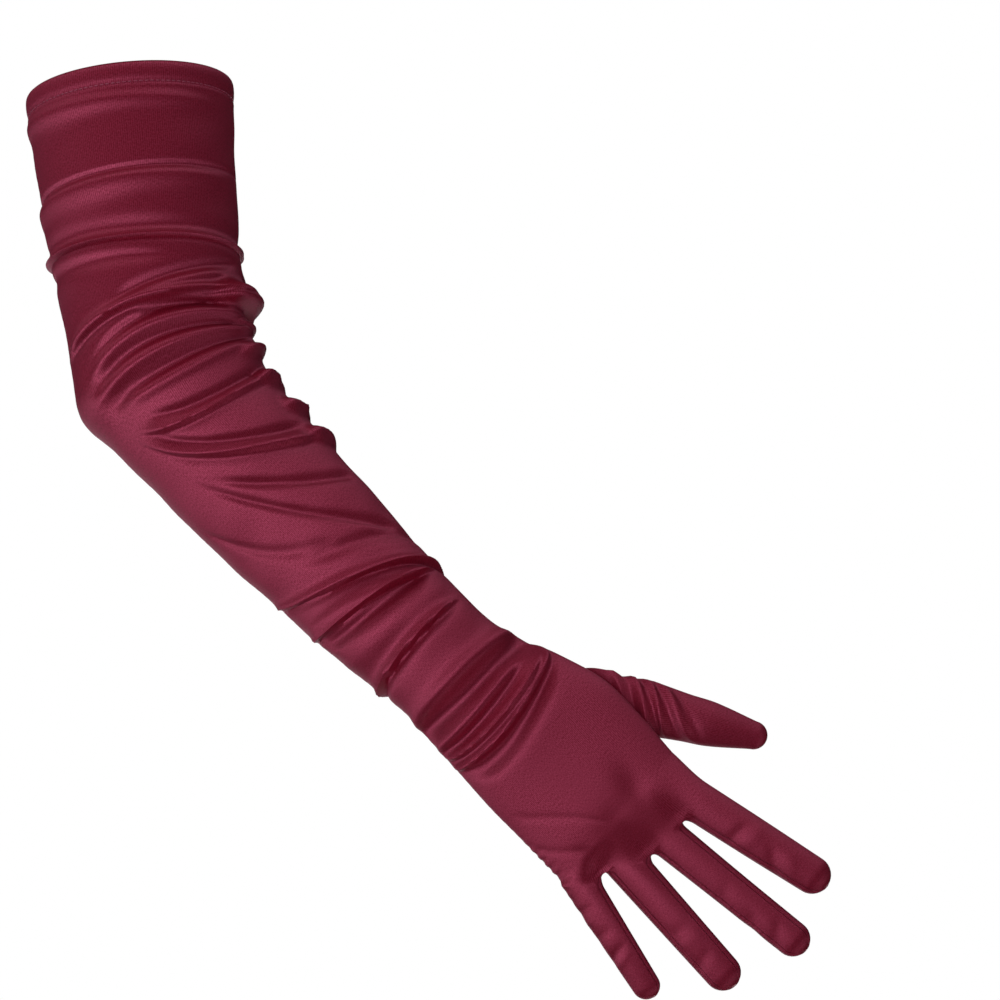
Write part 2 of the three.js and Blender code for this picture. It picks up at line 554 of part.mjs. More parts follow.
function makeThumb() {
  const thumb = placeThumb();
  const rim = holeRim();
  const palmMiddle = wrist.centre.clone().addScaledVector(hand.down, THUMB_ROOT.along * PALM_LENGTH);
  let above = rim.map(({ index }) => index);
  const grow = (place) => {
    const next = rim.map((step) => addPoint(place(step)));
    joinRings(above, next, () => "thumb");
    above = next;
  };
  for (let row = 1; row <= THUMB_ROOT_ROWS; row += 1) {
    grow(({ index, angle }) => {
      const start = points[index];
      const end = shaftPoint(thumb, 0, angle);
      const reach = start.distanceTo(end);
      const away = start.clone().sub(palmMiddle);
      away.addScaledVector(hand.down, -away.dot(hand.down)).normalize();
      away.addScaledVector(thumb.down, 1).normalize();
      const blend = (axis) => hermite(
        start[axis], end[axis], away[axis] * reach, thumb.down[axis] * reach, row / THUMB_ROOT_ROWS,
      );
      return new THREE.Vector3(blend("x"), blend("y"), blend("z"));
    });
  }
  for (let row = 1; row <= THUMB_ROWS; row += 1) {
    grow(({ angle }) => shaftPoint(thumb, row / THUMB_ROWS, angle));
  }
  TIP_TURNS.forEach((turn) => grow(({ angle }) => tipPoint(thumb, turn, angle)));
  closeTip(above, tipPoint(thumb, 90, 0), "thumb");
}

// The skin's outward direction at each of its points
function skinNormals() {
  const normals = points.map(() => new THREE.Vector3());
  faces.forEach(({ corners }) => {
    const [a, b, c, d = c] = corners.map((index) => points[index]);
    const normal = c.clone().sub(a).cross(d.clone().sub(b));
    if (corners.length === 3) normal.copy(b.clone().sub(a).cross(c.clone().sub(a)));
    corners.forEach((index) => normals[index].add(normal));
  });
  normals.forEach((normal) => normal.normalize());
  return normals;
}

// The edges of a piece: steps between two of its points that only one of its faces uses, each with
// the direction in that face that leads away from the edge
function edgesOf(own) {
  const edges = new Map();
  own.forEach(({ corners }) => {
    const [a, b, c] = corners.map((index) => points[index]);
    const facing = b.clone().sub(a).cross(c.clone().sub(a)).normalize();
    corners.forEach((from, k) => {
      const to = corners[(k + 1) % corners.length];
      if (edges.delete(`${to}:${from}`)) return;
      const run = points[to].clone().sub(points[from]).normalize();
      edges.set(`${from}:${to}`, { from, to, inwards: facing.clone().cross(run) });
    });
  });
  return [...edges.values()];
}

// How far each point on an edge moves into its piece, so that half a seam gap is left beside both
// of its edges. Where a seam turns sharply, as at a fork, the point moves further.
function seamShifts(edges, normals) {
  const shifts = new Map();
  edges.forEach(({ from, to, inwards }) => {
    [from, to].forEach((index) => {
      if (!shifts.has(index)) shifts.set(index, []);
      const normal = normals[index];
      const flat = inwards.clone().addScaledVector(normal, -inwards.dot(normal));
      shifts.get(index).push(flat.normalize());
    });
  });
  shifts.forEach((list, index) => {
    const sum = list.reduce((total, way) => total.add(way), new THREE.Vector3()).normalize();
    const share = Math.max(sum.dot(list[0]), SHARPEST_SEAM);
    shifts.set(index, sum.multiplyScalar(SEAM_GAP / 2 / share));
  });
  return shifts;
}

// A face of four corners is split between the two that face most alike, which follows the folds
function alongFold(corners, normals) {
  if (corners.length < 4) return corners;
  const [a, b, c, d] = corners;
  return normals[a].dot(normals[c]) < normals[b].dot(normals[d]) ? [b, c, d, a] : corners;
}

// One piece of cloth as a closed solid: the skin's faces that belong to it, a copy of them inside
// by the cloth's thickness, and walls along its edges
function makeSolid(piece, cloth, normals) {
  const own = faces.filter((face) => face.piece === piece);
  const edges = edgesOf(own);
  const shifts = seamShifts(edges, normals);
  const position = [];
  const triangles = [];
  const number = new Map();
  const numberOf = (index) => {
    if (!number.has(index)) {
      const outer = points[index].clone();
      if (shifts.has(index)) outer.add(shifts.get(index));
      number.set(index, position.length / 3);
      position.push(...outer.toArray());
      position.push(...outer.addScaledVector(normals[index], -cloth).toArray());
    }
    return number.get(index);
  };
  own.forEach(({ corners }) => {
    const outer = alongFold(corners, normals).map(numberOf);
    for (let k = 1; k < outer.length - 1; k += 1) {
      triangles.push(outer[0], outer[k], outer[k + 1]);
      triangles.push(outer[0] + 1, outer[k + 1] + 1, outer[k] + 1);
    }
  });
  edges.forEach(({ from, to }) => {
    const a = number.get(from);
    const b = number.get(to);
    // Both pieces at a seam split this twisted strip along the same line, so they stay apart
    if (from < to) triangles.push(b, a, a + 1, b, a + 1, b + 1);
    else triangles.push(b, a, b + 1, a, a + 1, b + 1);
  });
  const geometry = new THREE.BufferGeometry();
  geometry.setAttribute("position", new THREE.Float32BufferAttribute(position, 3));
  geometry.setIndex(triangles);
  geometry.computeVertexNormals();
  const mesh = new THREE.Mesh(geometry, new THREE.MeshStandardMaterial(SATIN));
  mesh.name = piece;
  return mesh;
}

makeSleeve();
makeFingers(makeForks());
makeThumb();

const normals = skinNormals();
const glove = new THREE.Group();
new Set(faces.map((face) => face.piece)).forEach((piece) => {
  glove.add(makeSolid(piece, piece === "hem" ? HEM_CLOTH : CLOTH, normals));
});

export default glove;
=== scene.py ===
# A long satin evening glove for the right hand, open at the arm and hollow to the fingertips, in
# the shape that it has when worn. It is sewn from stretch satin: a trank with the sleeve, palm and
# finger faces in one cut, three fourchettes between the fingers, a thumb and a turned hem.
# Millimetres in the tables, metres in the meshes.
import math

import bpy
import numpy as np
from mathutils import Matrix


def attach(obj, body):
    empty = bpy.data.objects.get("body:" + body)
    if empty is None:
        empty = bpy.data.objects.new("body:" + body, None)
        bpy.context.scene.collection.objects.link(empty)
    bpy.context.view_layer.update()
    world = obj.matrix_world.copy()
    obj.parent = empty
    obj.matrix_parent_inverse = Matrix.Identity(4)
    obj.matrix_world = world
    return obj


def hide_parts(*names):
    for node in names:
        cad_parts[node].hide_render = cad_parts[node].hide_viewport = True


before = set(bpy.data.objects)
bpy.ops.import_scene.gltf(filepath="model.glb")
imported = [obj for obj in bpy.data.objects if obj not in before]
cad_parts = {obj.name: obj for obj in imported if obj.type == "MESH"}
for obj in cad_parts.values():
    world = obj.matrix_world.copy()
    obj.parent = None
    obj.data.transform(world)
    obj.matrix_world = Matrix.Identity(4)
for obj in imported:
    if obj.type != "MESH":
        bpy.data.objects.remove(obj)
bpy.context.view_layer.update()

# The trank's sleeve and palm
# One cut of stretch satin, closed by a seam from the hem to the little fingertip. Over the bent
# elbow and above the wrist the spare length of the sleeve lies in rolls and tucks.
MM = 0.001
SLEEVE_LENGTH = 340
PALM_LENGTH = 80
UPPER_ARM_HALF = 45
FOREARM_HALF = 35
WRIST_HALF = 29
HAND_HALF = 38
HEM_DEPTH = 10.4
CLOTH = 0.9
FACE_COLUMNS = 18
COLUMNS = 8 * FACE_COLUMNS
SLEEVE_STEP = 0.88
PALM_STEP = 1.15
TUCKS_END = 1.3

# at is 0 at the hem, 1 at the wrist and 2 at the knuckles. bend and lean turn the middle line from
# straight down, in degrees. The rest are half sizes as shares of the half width named by like.
SECTION_COLUMNS = ("at", "like", "bend", "lean", "ulnar", "back", "radial", "palm")
SECTIONS = [
    (0, UPPER_ARM_HALF, 5.8, 14, 1.06, 0.98, 1.06, 0.98),
    (0.06, UPPER_ARM_HALF, 5.8, 14, 1.03, 0.96, 1.02, 0.97),
    (0.14, UPPER_ARM_HALF, 5.8, 14, 0.99, 0.95, 0.995, 0.96),
    (0.22, UPPER_ARM_HALF, 5.8, 14, 0.945, 0.94, 0.97, 0.95),
    (0.28, UPPER_ARM_HALF, 5.8, 14, 0.893, 0.93, 0.956, 0.94),
    (0.335, UPPER_ARM_HALF, 10.4, 13.8, 0.847, 0.92, 0.973, 0.92),
    (0.39, UPPER_ARM_HALF, 22.5, 12.6, 0.88, 0.88, 0.973, 0.88),
    (0.444, FOREARM_HALF, 36, 9.7, 1.03, 1.07, 1.21, 1.08),
    (0.498, FOREARM_HALF, 44.9, 6.5, 0.995, 1, 1.11, 1.02),
    (0.55, FOREARM_HALF, 45.6, 4.3, 1.005, 0.96, 1.07, 0.98),
    (0.63, FOREARM_HALF, 45.6, 4, 0.99, 0.9, 0.995, 0.93),
    (0.71, FOREARM_HALF, 45.6, 4, 0.96, 0.84, 0.96, 0.87),
    (0.79, FOREARM_HALF, 45.7, 4, 0.915, 0.77, 0.89, 0.8),
    (0.842, WRIST_HALF, 46.3, 3.8, 1.045, 0.86, 1.015, 0.9),
    (0.895, WRIST_HALF, 47.1, 2.7, 0.99, 0.78, 0.995, 0.83),
    (0.947, WRIST_HALF, 47.9, 1.2, 0.973, 0.7, 0.99, 0.77),
    (1, WRIST_HALF, 48.4, 0, 1.024, 0.64, 1.14, 0.75),
    (1.22, HAND_HALF, 48.5, 0, 0.842, 0.44, 1.02, 0.53),
    (1.45, HAND_HALF, 48.5, 0, 0.9, 0.39, 1.12, 0.5),
    (1.67, HAND_HALF, 48.5, 0, 0.93, 0.36, 1.1, 0.46),
    (2, HAND_HALF, 48.5, 0, 0.985, 0.33, 1.01, 0.39),
]

# The folds: at, turn, reach, slant, bow, rise, spread, under, groove. Each fold's line runs round
# the arm through at and turn, turn being 0 at the side seam and a quarter on the back. reach is
# half its length in turns. slant and bow are how far it drops and curves over a quarter turn, and
# spread its half width above the line, as shares of the sleeve's length. rise is the height as a
# share of the upper arm's half width, less than 0 in a valley. under is the half width below the
# line over that above it, and groove how deep the cloth sinks just below the line, as a share of
# rise.
FOLDS = [
    # under the hem, and the two tucks round the upper arm
    (0.0285, 0.25, 2, 0, 0, -0.008, 0.0035, 1, 0),
    (0.047, 0.08, 0.36, 0.004, 0, 0.026, 0.009, 1.6, 0),
    (0.1465, 0.17, 0.36, -0.009, 0.0017, -0.026, 0.0032, 1.6, 0),
    (0.163, 0.1, 0.36, -0.0095, 0.0017, 0.036, 0.009, 2.2, 0),
    (0.224, 0.25, 0.42, 0.005, 0, -0.02, 0.012, 0.6, 0),
    (0.2387, 0.255, 0.44, 0.0042, 0, 0.036, 0.006, 0.32, 0.5),
    (0.2382, 0.255, 0.36, 0.0042, 0, 0.01, 0.0035, 1, 0),
    (0.262, 0.12, 0.2, 0.006, 0, -0.022, 0.008, 1.3, 0),
    # the roll over the elbow and the folds that fan out below it from the inside of the bend
    (0.288, 0.323, 0.15, -0.055, 0.0236, -0.036, 0.008, 1, 0),
    (0.304, 0.3, 0.13, -0.05, 0.02, 0.026, 0.008, 0.8, 0),
    (0.3226, 0.265, 0.235, -0.0287, 0.0127, 0.055, 0.01, 0.4, 0.6),
    (0.3217, 0.24, 0.25, -0.0287, 0.0127, 0.012, 0.0035, 1, 0),
    (0.317, 0.5, 0.13, 0, 0.02, 0.2, 0.022, 0.9, 0),
    (0.334, 0.39, 0.17, 0.012, 0.03, -0.055, 0.0065, 1.2, 0),
    (0.3422, 0.276, 0.15, -0.0355, 0.041, -0.038, 0.0065, 1, 0),
    (0.357, 0.29, 0.19, -0.022, 0.038, 0.031, 0.0085, 0.7, 0),
    (0.3754, 0.303, 0.2, -0.0105, 0.0346, -0.051, 0.0075, 0.9, 0),
    (0.378, 0.5, 0.08, 0, 0, 0.05, 0.01, 1, 0),
    (0.408, 0, 0.16, 0, 0, 0.07, 0.024, 1, 0),
    (0.393, 0.3, 0.21, -0.009, 0.022, 0.043, 0.012, 0.55, 0.2),
    (0.4161, 0.3, 0.19, -0.007, 0.005, -0.047, 0.008, 0.9, 0),
    (0.434, 0.3, 0.17, 0.012, -0.012, 0.034, 0.01, 0.8, 0),
    (0.45, 0.5, 0.1, 0, 0, 0.09, 0.014, 0.9, 0),
    (0.4838, 0.326, 0.15, 0.032, -0.044, -0.043, 0.007, 0.8, 0),
    (0.495, 0.315, 0.18, 0.035, -0.03, 0.043, 0.008, 0.45, 0.5),
    (0.512, 0.5, 0.09, 0.04, 0, 0.09, 0.011, 1, 0),
    (0.5475, 0.3, 0.15, 0.108, -0.078, -0.043, 0.007, 1, 0),
    (0.5595, 0.29, 0.17, 0.113, -0.064, 0.043, 0.0085, 0.7, 0.8),
    (0.562, 0.5, 0.08, 0.05, 0, 0.09, 0.011, 1, 0),
    (0.612, 0.5, 0.08, 0.05, 0, 0.1, 0.011, 1, 0),
    # the long slack stretch of the forearm
    (0.642, 0.33, 0.14, 0.11, -0.087, -0.04, 0.01, 0.7, 0),
    (0.694, 0.31, 0.16, 0.184, -0.109, -0.042, 0.011, 0.7, 0),
    (0.683, 0.18, 0.12, 0.148, -0.139, -0.022, 0.012, 1, 0),
    # the bunched cloth above the wrist
    (0.755, 0.36, 0.18, 0.06, 0, -0.03, 0.011, 1, 0),
    (0.7758, 0.272, 0.32, 0.058, 0.012, 0.05, 0.008, 0.45, 1.2),
    (0.7897, 0.183, 0.15, 0.031, 0.0255, 0.034, 0.008, 0.9, 0),
    (0.8048, 0.222, 0.25, 0.0255, 0.0123, 0.055, 0.007, 0.45, 1.2),
    (0.822, 0.226, 0.2, 0.0187, 0, -0.06, 0.0085, 1.2, 0),
    (0.853, 0.22, 0.24, 0.008, 0.004, 0.02, 0.016, 1, 0),
    (0.8852, 0.19, 0.25, -0.01, 0.0155, 0.055, 0.008, 0.45, 1.2),
    (0.955, 0.247, 0.3, 0.003, 0.012, 0.045, 0.013, 0.8, 0),
    (0.983, 0.27, 0.28, 0.0095, 0, -0.1, 0.019, 0.9, 0),
    # the tucks at the root of the hand, bowed round its thumb side
    (1.02, 0.2, 0.22, -0.004, 0, 0.03, 0.012, 0.8, 0),
    (1.075, 0.21, 0.2, 0, -0.016, -0.06, 0.0095, 1, 0),
    (1.1415, 0.226, 0.23, 0.001, -0.022, 0.045, 0.007, 0.7, 0.8),
    (1.205, 0.247, 0.26, -0.008, -0.0239, 0.055, 0.008, 0.75, 0.8),
    (1.275, 0.25, 0.2, -0.018, -0.028, -0.05, 0.013, 1, 0),
    # two small creases on the back of the hand, by the little finger
    (1.77, 0.135, 0.09, 0.148, 0, -0.008, 0.007, 1, 0),
    (1.9, 0.08, 0.06, 0.15, 0, -0.008, 0.007, 1, 0),
    # the inner side of the sleeve
    (0.2, 0.76, 0.2, 0.01, -0.01, -0.04, 0.014, 1, 0),
    (0.3, 0.72, 0.26, 0.02, -0.01, 0.06, 0.014, 0.4, 0.4),
    (0.335, 0.7, 0.22, 0.02, -0.02, -0.05, 0.012, 1, 0),
    (0.37, 0.68, 0.22, 0.02, -0.03, 0.06, 0.013, 0.5, 0.3),
    (0.41, 0.67, 0.2, -0.02, -0.03, -0.05, 0.013, 1, 0),
    (0.47, 0.68, 0.2, -0.05, 0.03, -0.05, 0.013, 1, 0),
    (0.51, 0.68, 0.2, -0.06, 0.04, 0.05, 0.013, 0.5, 0.3),
    (0.58, 0.7, 0.18, -0.08, 0.05, 0.045, 0.014, 0.5, 0.3),
    (0.67, 0.74, 0.18, -0.08, 0.04, -0.04, 0.015, 1, 0),
    (0.76, 0.74, 0.22, -0.05, 0.02, 0.055, 0.013, 0.4, 0.4),
    (0.795, 0.74, 0.2, -0.05, 0.02, -0.05, 0.012, 1, 0),
    (0.86, 0.75, 0.24, 0.02, -0.01, 0.05, 0.013, 0.5, 0.3),
    (0.92, 0.75, 0.2, 0.02, -0.01, 0.045, 0.013, 0.8, 0),
    (0.98, 0.75, 0.2, -0.01, 0.01, -0.04, 0.013, 1, 0),
]
# A fold fades over this share of its reach at each end
FOLD_FADE = 0.4


def hermite(start, end, start_slope, end_slope, t):
    t2 = t * t
    t3 = t2 * t
    early = start * (2 * t3 - 3 * t2 + 1) + start_slope * (t3 - 2 * t2 + t)
    return early + end * (3 * t2 - 2 * t3) + end_slope * (t3 - t2)


def ease(value, low, high):
    t = np.clip((value - low) / (high - low), 0, 1)
    return t * t * (3 - 2 * t)


def curve_through(places, values, at):
    """A smooth curve through the rows of a table."""
    places, values = np.array(places, float), np.array(values, float)
    rows = np.arange(len(places))
    before, after = np.maximum(rows - 1, 0), np.minimum(rows + 1, len(rows) - 1)
    slope = (values[after] - values[before]) / (places[after] - places[before])
    i = np.clip(np.searchsorted(places, at) - 1, 0, len(places) - 2)
    span = places[i + 1] - places[i]
    t = np.clip((at - places[i]) / span, 0, 1)
    return hermite(values[i], values[i + 1], slope[i] * span, slope[i + 1] * span, t)


def section(column, at):
    k = SECTION_COLUMNS.index(column)
    sizes = [row[k] * (row[1] if k > 3 else 1) for row in SECTIONS]
    return curve_through([row[0] for row in SECTIONS], sizes, at)


def length_to(at):
    return np.minimum(at, 1) * SLEEVE_LENGTH + np.maximum(at - 1, 0) * PALM_LENGTH


def directions(at):
    """Down the arm, across it towards the thumb's side, and out of the back of the hand."""
    bend, lean = np.radians(section("bend", at)), np.radians(section("lean", at))
    down = np.stack([np.sin(bend) * np.cos(lean), -np.sin(lean), -np.cos(bend) * np.cos(lean)], -1)
    side = np.stack([np.cos(bend), np.zeros_like(bend), np.sin(bend)], -1)
    return down, side, np.cross(down, side)


# The arm's middle line, walked from the hem down
walk = np.linspace(0, 2, 2001)
walk_down = directions((walk[1:] + walk[:-1]) / 2)[0]
walk_steps = walk_down * np.diff(length_to(walk))[:, None]
walk_centre = np.vstack([np.zeros(3), np.cumsum(walk_steps, axis=0)])


def centre_at(at):
    return np.stack([np.interp(at, walk, walk_centre[:, k]) for k in range(3)], -1)


def fold_height(at, turn):
    height = np.zeros(np.broadcast(at, turn).shape)
    for fold_at, fold_turn, reach, slant, bow, rise, spread, under, groove in FOLDS:
        around = np.mod(turn - fold_turn + 0.5, 1) - 0.5
        quarters = around / 0.25
        line = length_to(fold_at) + (slant * quarters + bow * quarters**2) * SLEEVE_LENGTH
        fade = ease(1 - np.abs(around) / reach, 0, FOLD_FADE)
        off = (length_to(at) - line) / (spread * SLEEVE_LENGTH * (0.6 + 0.4 * fade))
        side_above = np.exp(-(np.abs(off) ** (1.6 if groove else 2)))
        off_below = off / under
        side_below = (1 + groove) * np.exp(-(off_below**2))
        side_below = side_below - groove * np.exp(-((off_below / 3) ** 2))
        shape = np.where(off > 0, side_below, side_above)
        height = height + rise * UPPER_ARM_HALF * fade * shape
    return height


# Small unevenness of soft cloth, fading out on the hand. Each row is a slow wave: how many of it
# there are along the sleeve and round the arm, its phase and its height.
UNEVEN = [(5, 2, 0.4, 0.22), (9, -3, 1.9, 0.16), (16, 5, 4.1, 0.07)]


def unevenness(at, turn):
    waves = sum(
        size * np.sin(2 * np.pi * (along * at + around * turn) + phase)
        for along, around, phase, size in UNEVEN
    )
    return waves * (1 - ease(at, 0.95, 1.15)) * ease(at, 0.02, 0.08)


# The cloth draws up in small puckers along the side seam, most where the little finger begins,
# and far lower on the sleeve. Their spacing drifts a little. Their reach is in turns.
PUCKER_LENGTH = 4.6
PUCKER_DRIFT = 1.3
PUCKER_DRIFT_LENGTH = 17
PUCKER_HEIGHT = 0.28
PUCKER_SLEEVE_SHARE = 0.12
PUCKER_REACH = 0.035


def puckers(at, turn):
    around = np.mod(turn + 0.5, 1) - 0.5
    along = length_to(at)
    drift = PUCKER_DRIFT * np.sin(along / PUCKER_DRIFT_LENGTH)
    wave = np.sin(2 * np.pi * along / PUCKER_LENGTH + drift)
    on_hand = (1 - PUCKER_SLEEVE_SHARE) * ease(at, 1.65, 1.85)
    size = PUCKER_HEIGHT * (PUCKER_SLEEVE_SHARE + on_hand)
    return size * wave * np.exp(-((around / PUCKER_REACH) ** 2)) * ease(at, 0.03, 0.06)


# Towards the knuckles the columns of cloth shift, so that each finger gets an equal share of them
EVEN_SHARE = math.pi / 12


def sleeve_point(at, turn):
    at, turn = np.broadcast_arrays(np.asarray(at, float), np.asarray(turn, float))
    down, side, front = directions(at)
    shift = EVEN_SHARE * ease(at, 0.8, 1.6)
    angle = 2 * np.pi * turn + shift * np.sin(4 * np.pi * turn)
    across, depth_share = -np.cos(angle), np.sin(angle)
    half = np.where(across < 0, section("ulnar", at), section("radial", at))[..., None]
    depth = np.where(depth_share > 0, section("back", at), section("palm", at))[..., None]
    across, depth_share = across[..., None], depth_share[..., None]
    out = side * across / half + front * depth_share / depth
    out = out / np.linalg.norm(out, axis=-1, keepdims=True)
    lift = (fold_height(at, turn) + unevenness(at, turn) + puckers(at, turn))[..., None]
    return centre_at(at) + side * across * half + front * depth_share * depth + out * lift


# The rows of the mesh slant and bow with the folds, so that the crests stay clean: at, slant and
# bow, as in the folds' table. On the inner side of the arm they are level again.
ROW_MIDDLE = 0.265
ROW_FADE = (0.2, 0.46)
ROW_LINES = [
    (0, 0, 0),
    (0.04, 0, 0),
    (0.15, -0.009, 0),
    (0.2, 0, 0),
    (0.24, 0.0042, 0),
    (0.322, -0.0287, 0.0127),
    (0.36, -0.022, 0.02),
    (0.4, -0.007, 0.015),
    (0.44, 0.012, -0.005),
    (0.495, 0.04, -0.025),
    (0.56, 0.09, -0.035),
    (0.7, 0.09, -0.03),
    (0.7758, 0.056, 0.012),
    (0.8048, 0.03, 0.0123),
    (0.8852, -0.01, 0.0155),
    (1, 0, 0),
    (2, 0, 0),
]

hem_end = HEM_DEPTH / SLEEVE_LENGTH
sleeve_rows = round((SLEEVE_LENGTH - HEM_DEPTH) / SLEEVE_STEP)
root_rows = round((TUCKS_END - 1) * PALM_LENGTH / SLEEVE_STEP)
palm_rows = round((2 - TUCKS_END) * PALM_LENGTH / PALM_STEP)
row_places = np.concatenate(
    [
        np.linspace(hem_end, 1, sleeve_rows, endpoint=False),
        np.linspace(1, TUCKS_END, root_rows, endpoint=False),
        np.linspace(TUCKS_END, 2, palm_rows + 1),
    ]
)
turns = np.arange(COLUMNS) / COLUMNS
line_at, line_slant, line_bow = zip(*ROW_LINES)
row_slant = np.interp(row_places, line_at, line_slant)[:, None]
row_bow = np.interp(row_places, line_at, line_bow)[:, None]
from_back = np.mod(turns - ROW_MIDDLE + 0.5, 1) - 0.5
row_quarters = from_back / 0.25 * (1 - ease(np.abs(from_back), *ROW_FADE))
grid_places = row_places[:, None] + row_slant * row_quarters + row_bow * row_quarters**2
grid = sleeve_point(grid_places, turns[None, :])

# The whole glove's outer surface is kept as one skin of points and faces. Each face knows its piece
# and each point its place on the flat cloth, across and along, and the cloth's whole width there,
# in millimetres. CLOTH_ROUND is that width on the trank.
CLOTH_ROUND = 240
skin_points = []
skin_cloth = []
skin_faces = []
skin_pieces = []


def add_points(points, across, along, width=CLOTH_ROUND):
    first = len(skin_points)
    count = len(points)
    skin_points.extend(np.asarray(points, float))
    places = [np.broadcast_to(value, count) for value in (across, along, width)]
    skin_cloth.extend(zip(*places))
    return np.arange(first, first + count)


def join_rings(ring, after, pieces):
    """Faces between two closed rings; pieces names the piece of each step round them."""
    for k in range(len(ring)):
        n = (k + 1) % len(ring)
        skin_faces.append((ring[k], after[k], after[n], ring[n]))
        skin_pieces.append(pieces[k])


def close_tip(ring, point, piece):
    across, along, width = skin_cloth[ring[0]]
    tip = add_points([point], across, along + 1, width)[0]
    for k in range(len(ring)):
        skin_faces.append((ring[k], tip, ring[(k + 1) % len(ring)]))
        skin_pieces.append(piece)


# The hole that the thumb is sewn into: rows as shares of the palm's length, columns as turns
THUMB_HOLE_ROWS = (0.3, 0.9)
THUMB_HOLE_TURNS = (13 / 24, 16 / 24)
hole_top, hole_bottom = (np.argmin(np.abs(row_places - 1 - share)) for share in THUMB_HOLE_ROWS)
hole_near, hole_far = (round(turn * COLUMNS) for turn in THUMB_HOLE_TURNS)

rows = [
    add_points(points, turns * CLOTH_ROUND, length_to(at)) for at, points in zip(grid_places, grid)
]
for row in range(len(rows) - 1):
    in_hole_rows = hole_top <= row < hole_bottom
    for column in range(COLUMNS):
        if in_hole_rows and hole_near <= column < hole_far:
            continue
        after = (column + 1) % COLUMNS
        corners = (rows[row][column], rows[row + 1][column], rows[row + 1][after], rows[row][after])
        skin_faces.append(corners)
        skin_pieces.append("trank")

# The trank's fingers and the fourchettes
# The trank's front and back carry on as the two faces of each finger. The fourchettes are narrow
# strips of the same satin, folded over each fork and sewn in along both faces to the fingertips.
FORK_WIDTH = 2.9
FINGERS_SHIFT = -0.026
FINGER_FLATNESS = 0.86
FOURCHETTE_REACH = 40
FOURCHETTE_COLUMNS = 8
FORK_ROWS = 14
FINGER_STEP = 1.3
TIP_TURNS = (12, 24, 36, 48, 58, 68, 77, 84)
FORK_ROUND = 3.6
FORK_PULL = 5
# How far past the fork a finger's first rows lie, close together where the fork is rounded
FORK_OUTS = [0.15, 0.5, 1.0, 1.7, 2.6, 3.6]

# Creases across the fingers: out along the finger in millimetres, the side that they are on in
# degrees, half their length, how far they slant over a quarter turn, height and half width
CREASES = {
    "little": [
        (2, 10, 60, 2, -0.32, 1.6),
        (7, 5, 55, 2, -0.24, 1.4),
        (13, 30, 70, 3, -0.35, 1.8),
        (19, 20, 55, 2, 0.21, 1.8),
        (25.5, 50, 70, 4, -0.35, 2.2),
        (35.5, 55, 70, 5, -0.63, 2.2),
        (39, 60, 60, 5, 0.28, 2.0),
        (24, 270, 80, 3, -0.35, 2.0),
    ],
    "ring": [
        (38, 85, 60, 3, -0.28, 3.0),
        (45, 80, 50, 3, 0.17, 2.6),
        (55, 68, 60, 5, -0.39, 3.0),
        (26, 270, 80, 3, -0.35, 2.2),
        (48, 270, 80, 3, -0.35, 2.2),
    ],
    "middle": [
        (36, 60, 60, 4, -0.24, 3.5),
        (54, 35, 60, 6, -0.42, 4.0),
        (66, 60, 70, 6, -0.39, 3.2),
        (30, 270, 80, 3, -0.35, 2.2),
        (54, 270, 80, 3, -0.35, 2.2),
    ],
    "index": [
        (22, 72, 55, -4, -0.52, 2.6),
        (29, 90, 60, -3, 0.24, 3.2),
        (43, 55, 60, 8, -0.56, 3.6),
        (51, 70, 60, 8, 0.21, 3.2),
        (26, 270, 80, 3, -0.35, 2.2),
        (46, 270, 80, 3, -0.35, 2.2),
    ],
    "thumb": [
        (-15, 110, 90, 11, 0.9, 2.0),
        (-9.5, 110, 90, 11, -0.8, 1.8),
        (-4.5, 105, 95, 9, 1.2, 1.9),
        (-0.5, 105, 90, 10, -1.1, 1.7),
        (3.5, 100, 95, 9, 1.1, 1.5),
        (7.5, 100, 85, 11, -0.9, 2.0),
        (12.8, 98, 85, 13, 1.3, 2.6),
        (18.5, 95, 75, 13, -0.4, 3.0),
        (24, 270, 80, 3, -0.5, 2.2),
    ],
}

# spread is the way a finger points, in degrees towards the thumb, curl how far its tip drops, as a
# share of its length. The forks are shares of the palm's length past the knuckles. waist and tip
# are half widths as shares of the one at the fork.
FINGER_NAMES = ("little", "ring", "middle", "index")
FINGERS = [
    dict(half=7.9, length=60.5, spread=-16, curl=0.07, forks=(0.06, 0.15), waist=0.9, tip=0.8),
    dict(half=9.2, length=73.5, spread=-6.9, curl=0.05, forks=(0.15, 0.285), waist=0.95, tip=0.9),
    dict(half=8.9, length=80.5, spread=2.5, curl=0.04, forks=(0.285, 0.295), waist=0.93, tip=0.9),
    dict(half=9.2, length=69.5, spread=8.8, curl=0.05, forks=(0.295, 0.28), waist=0.98, tip=0.93),
]

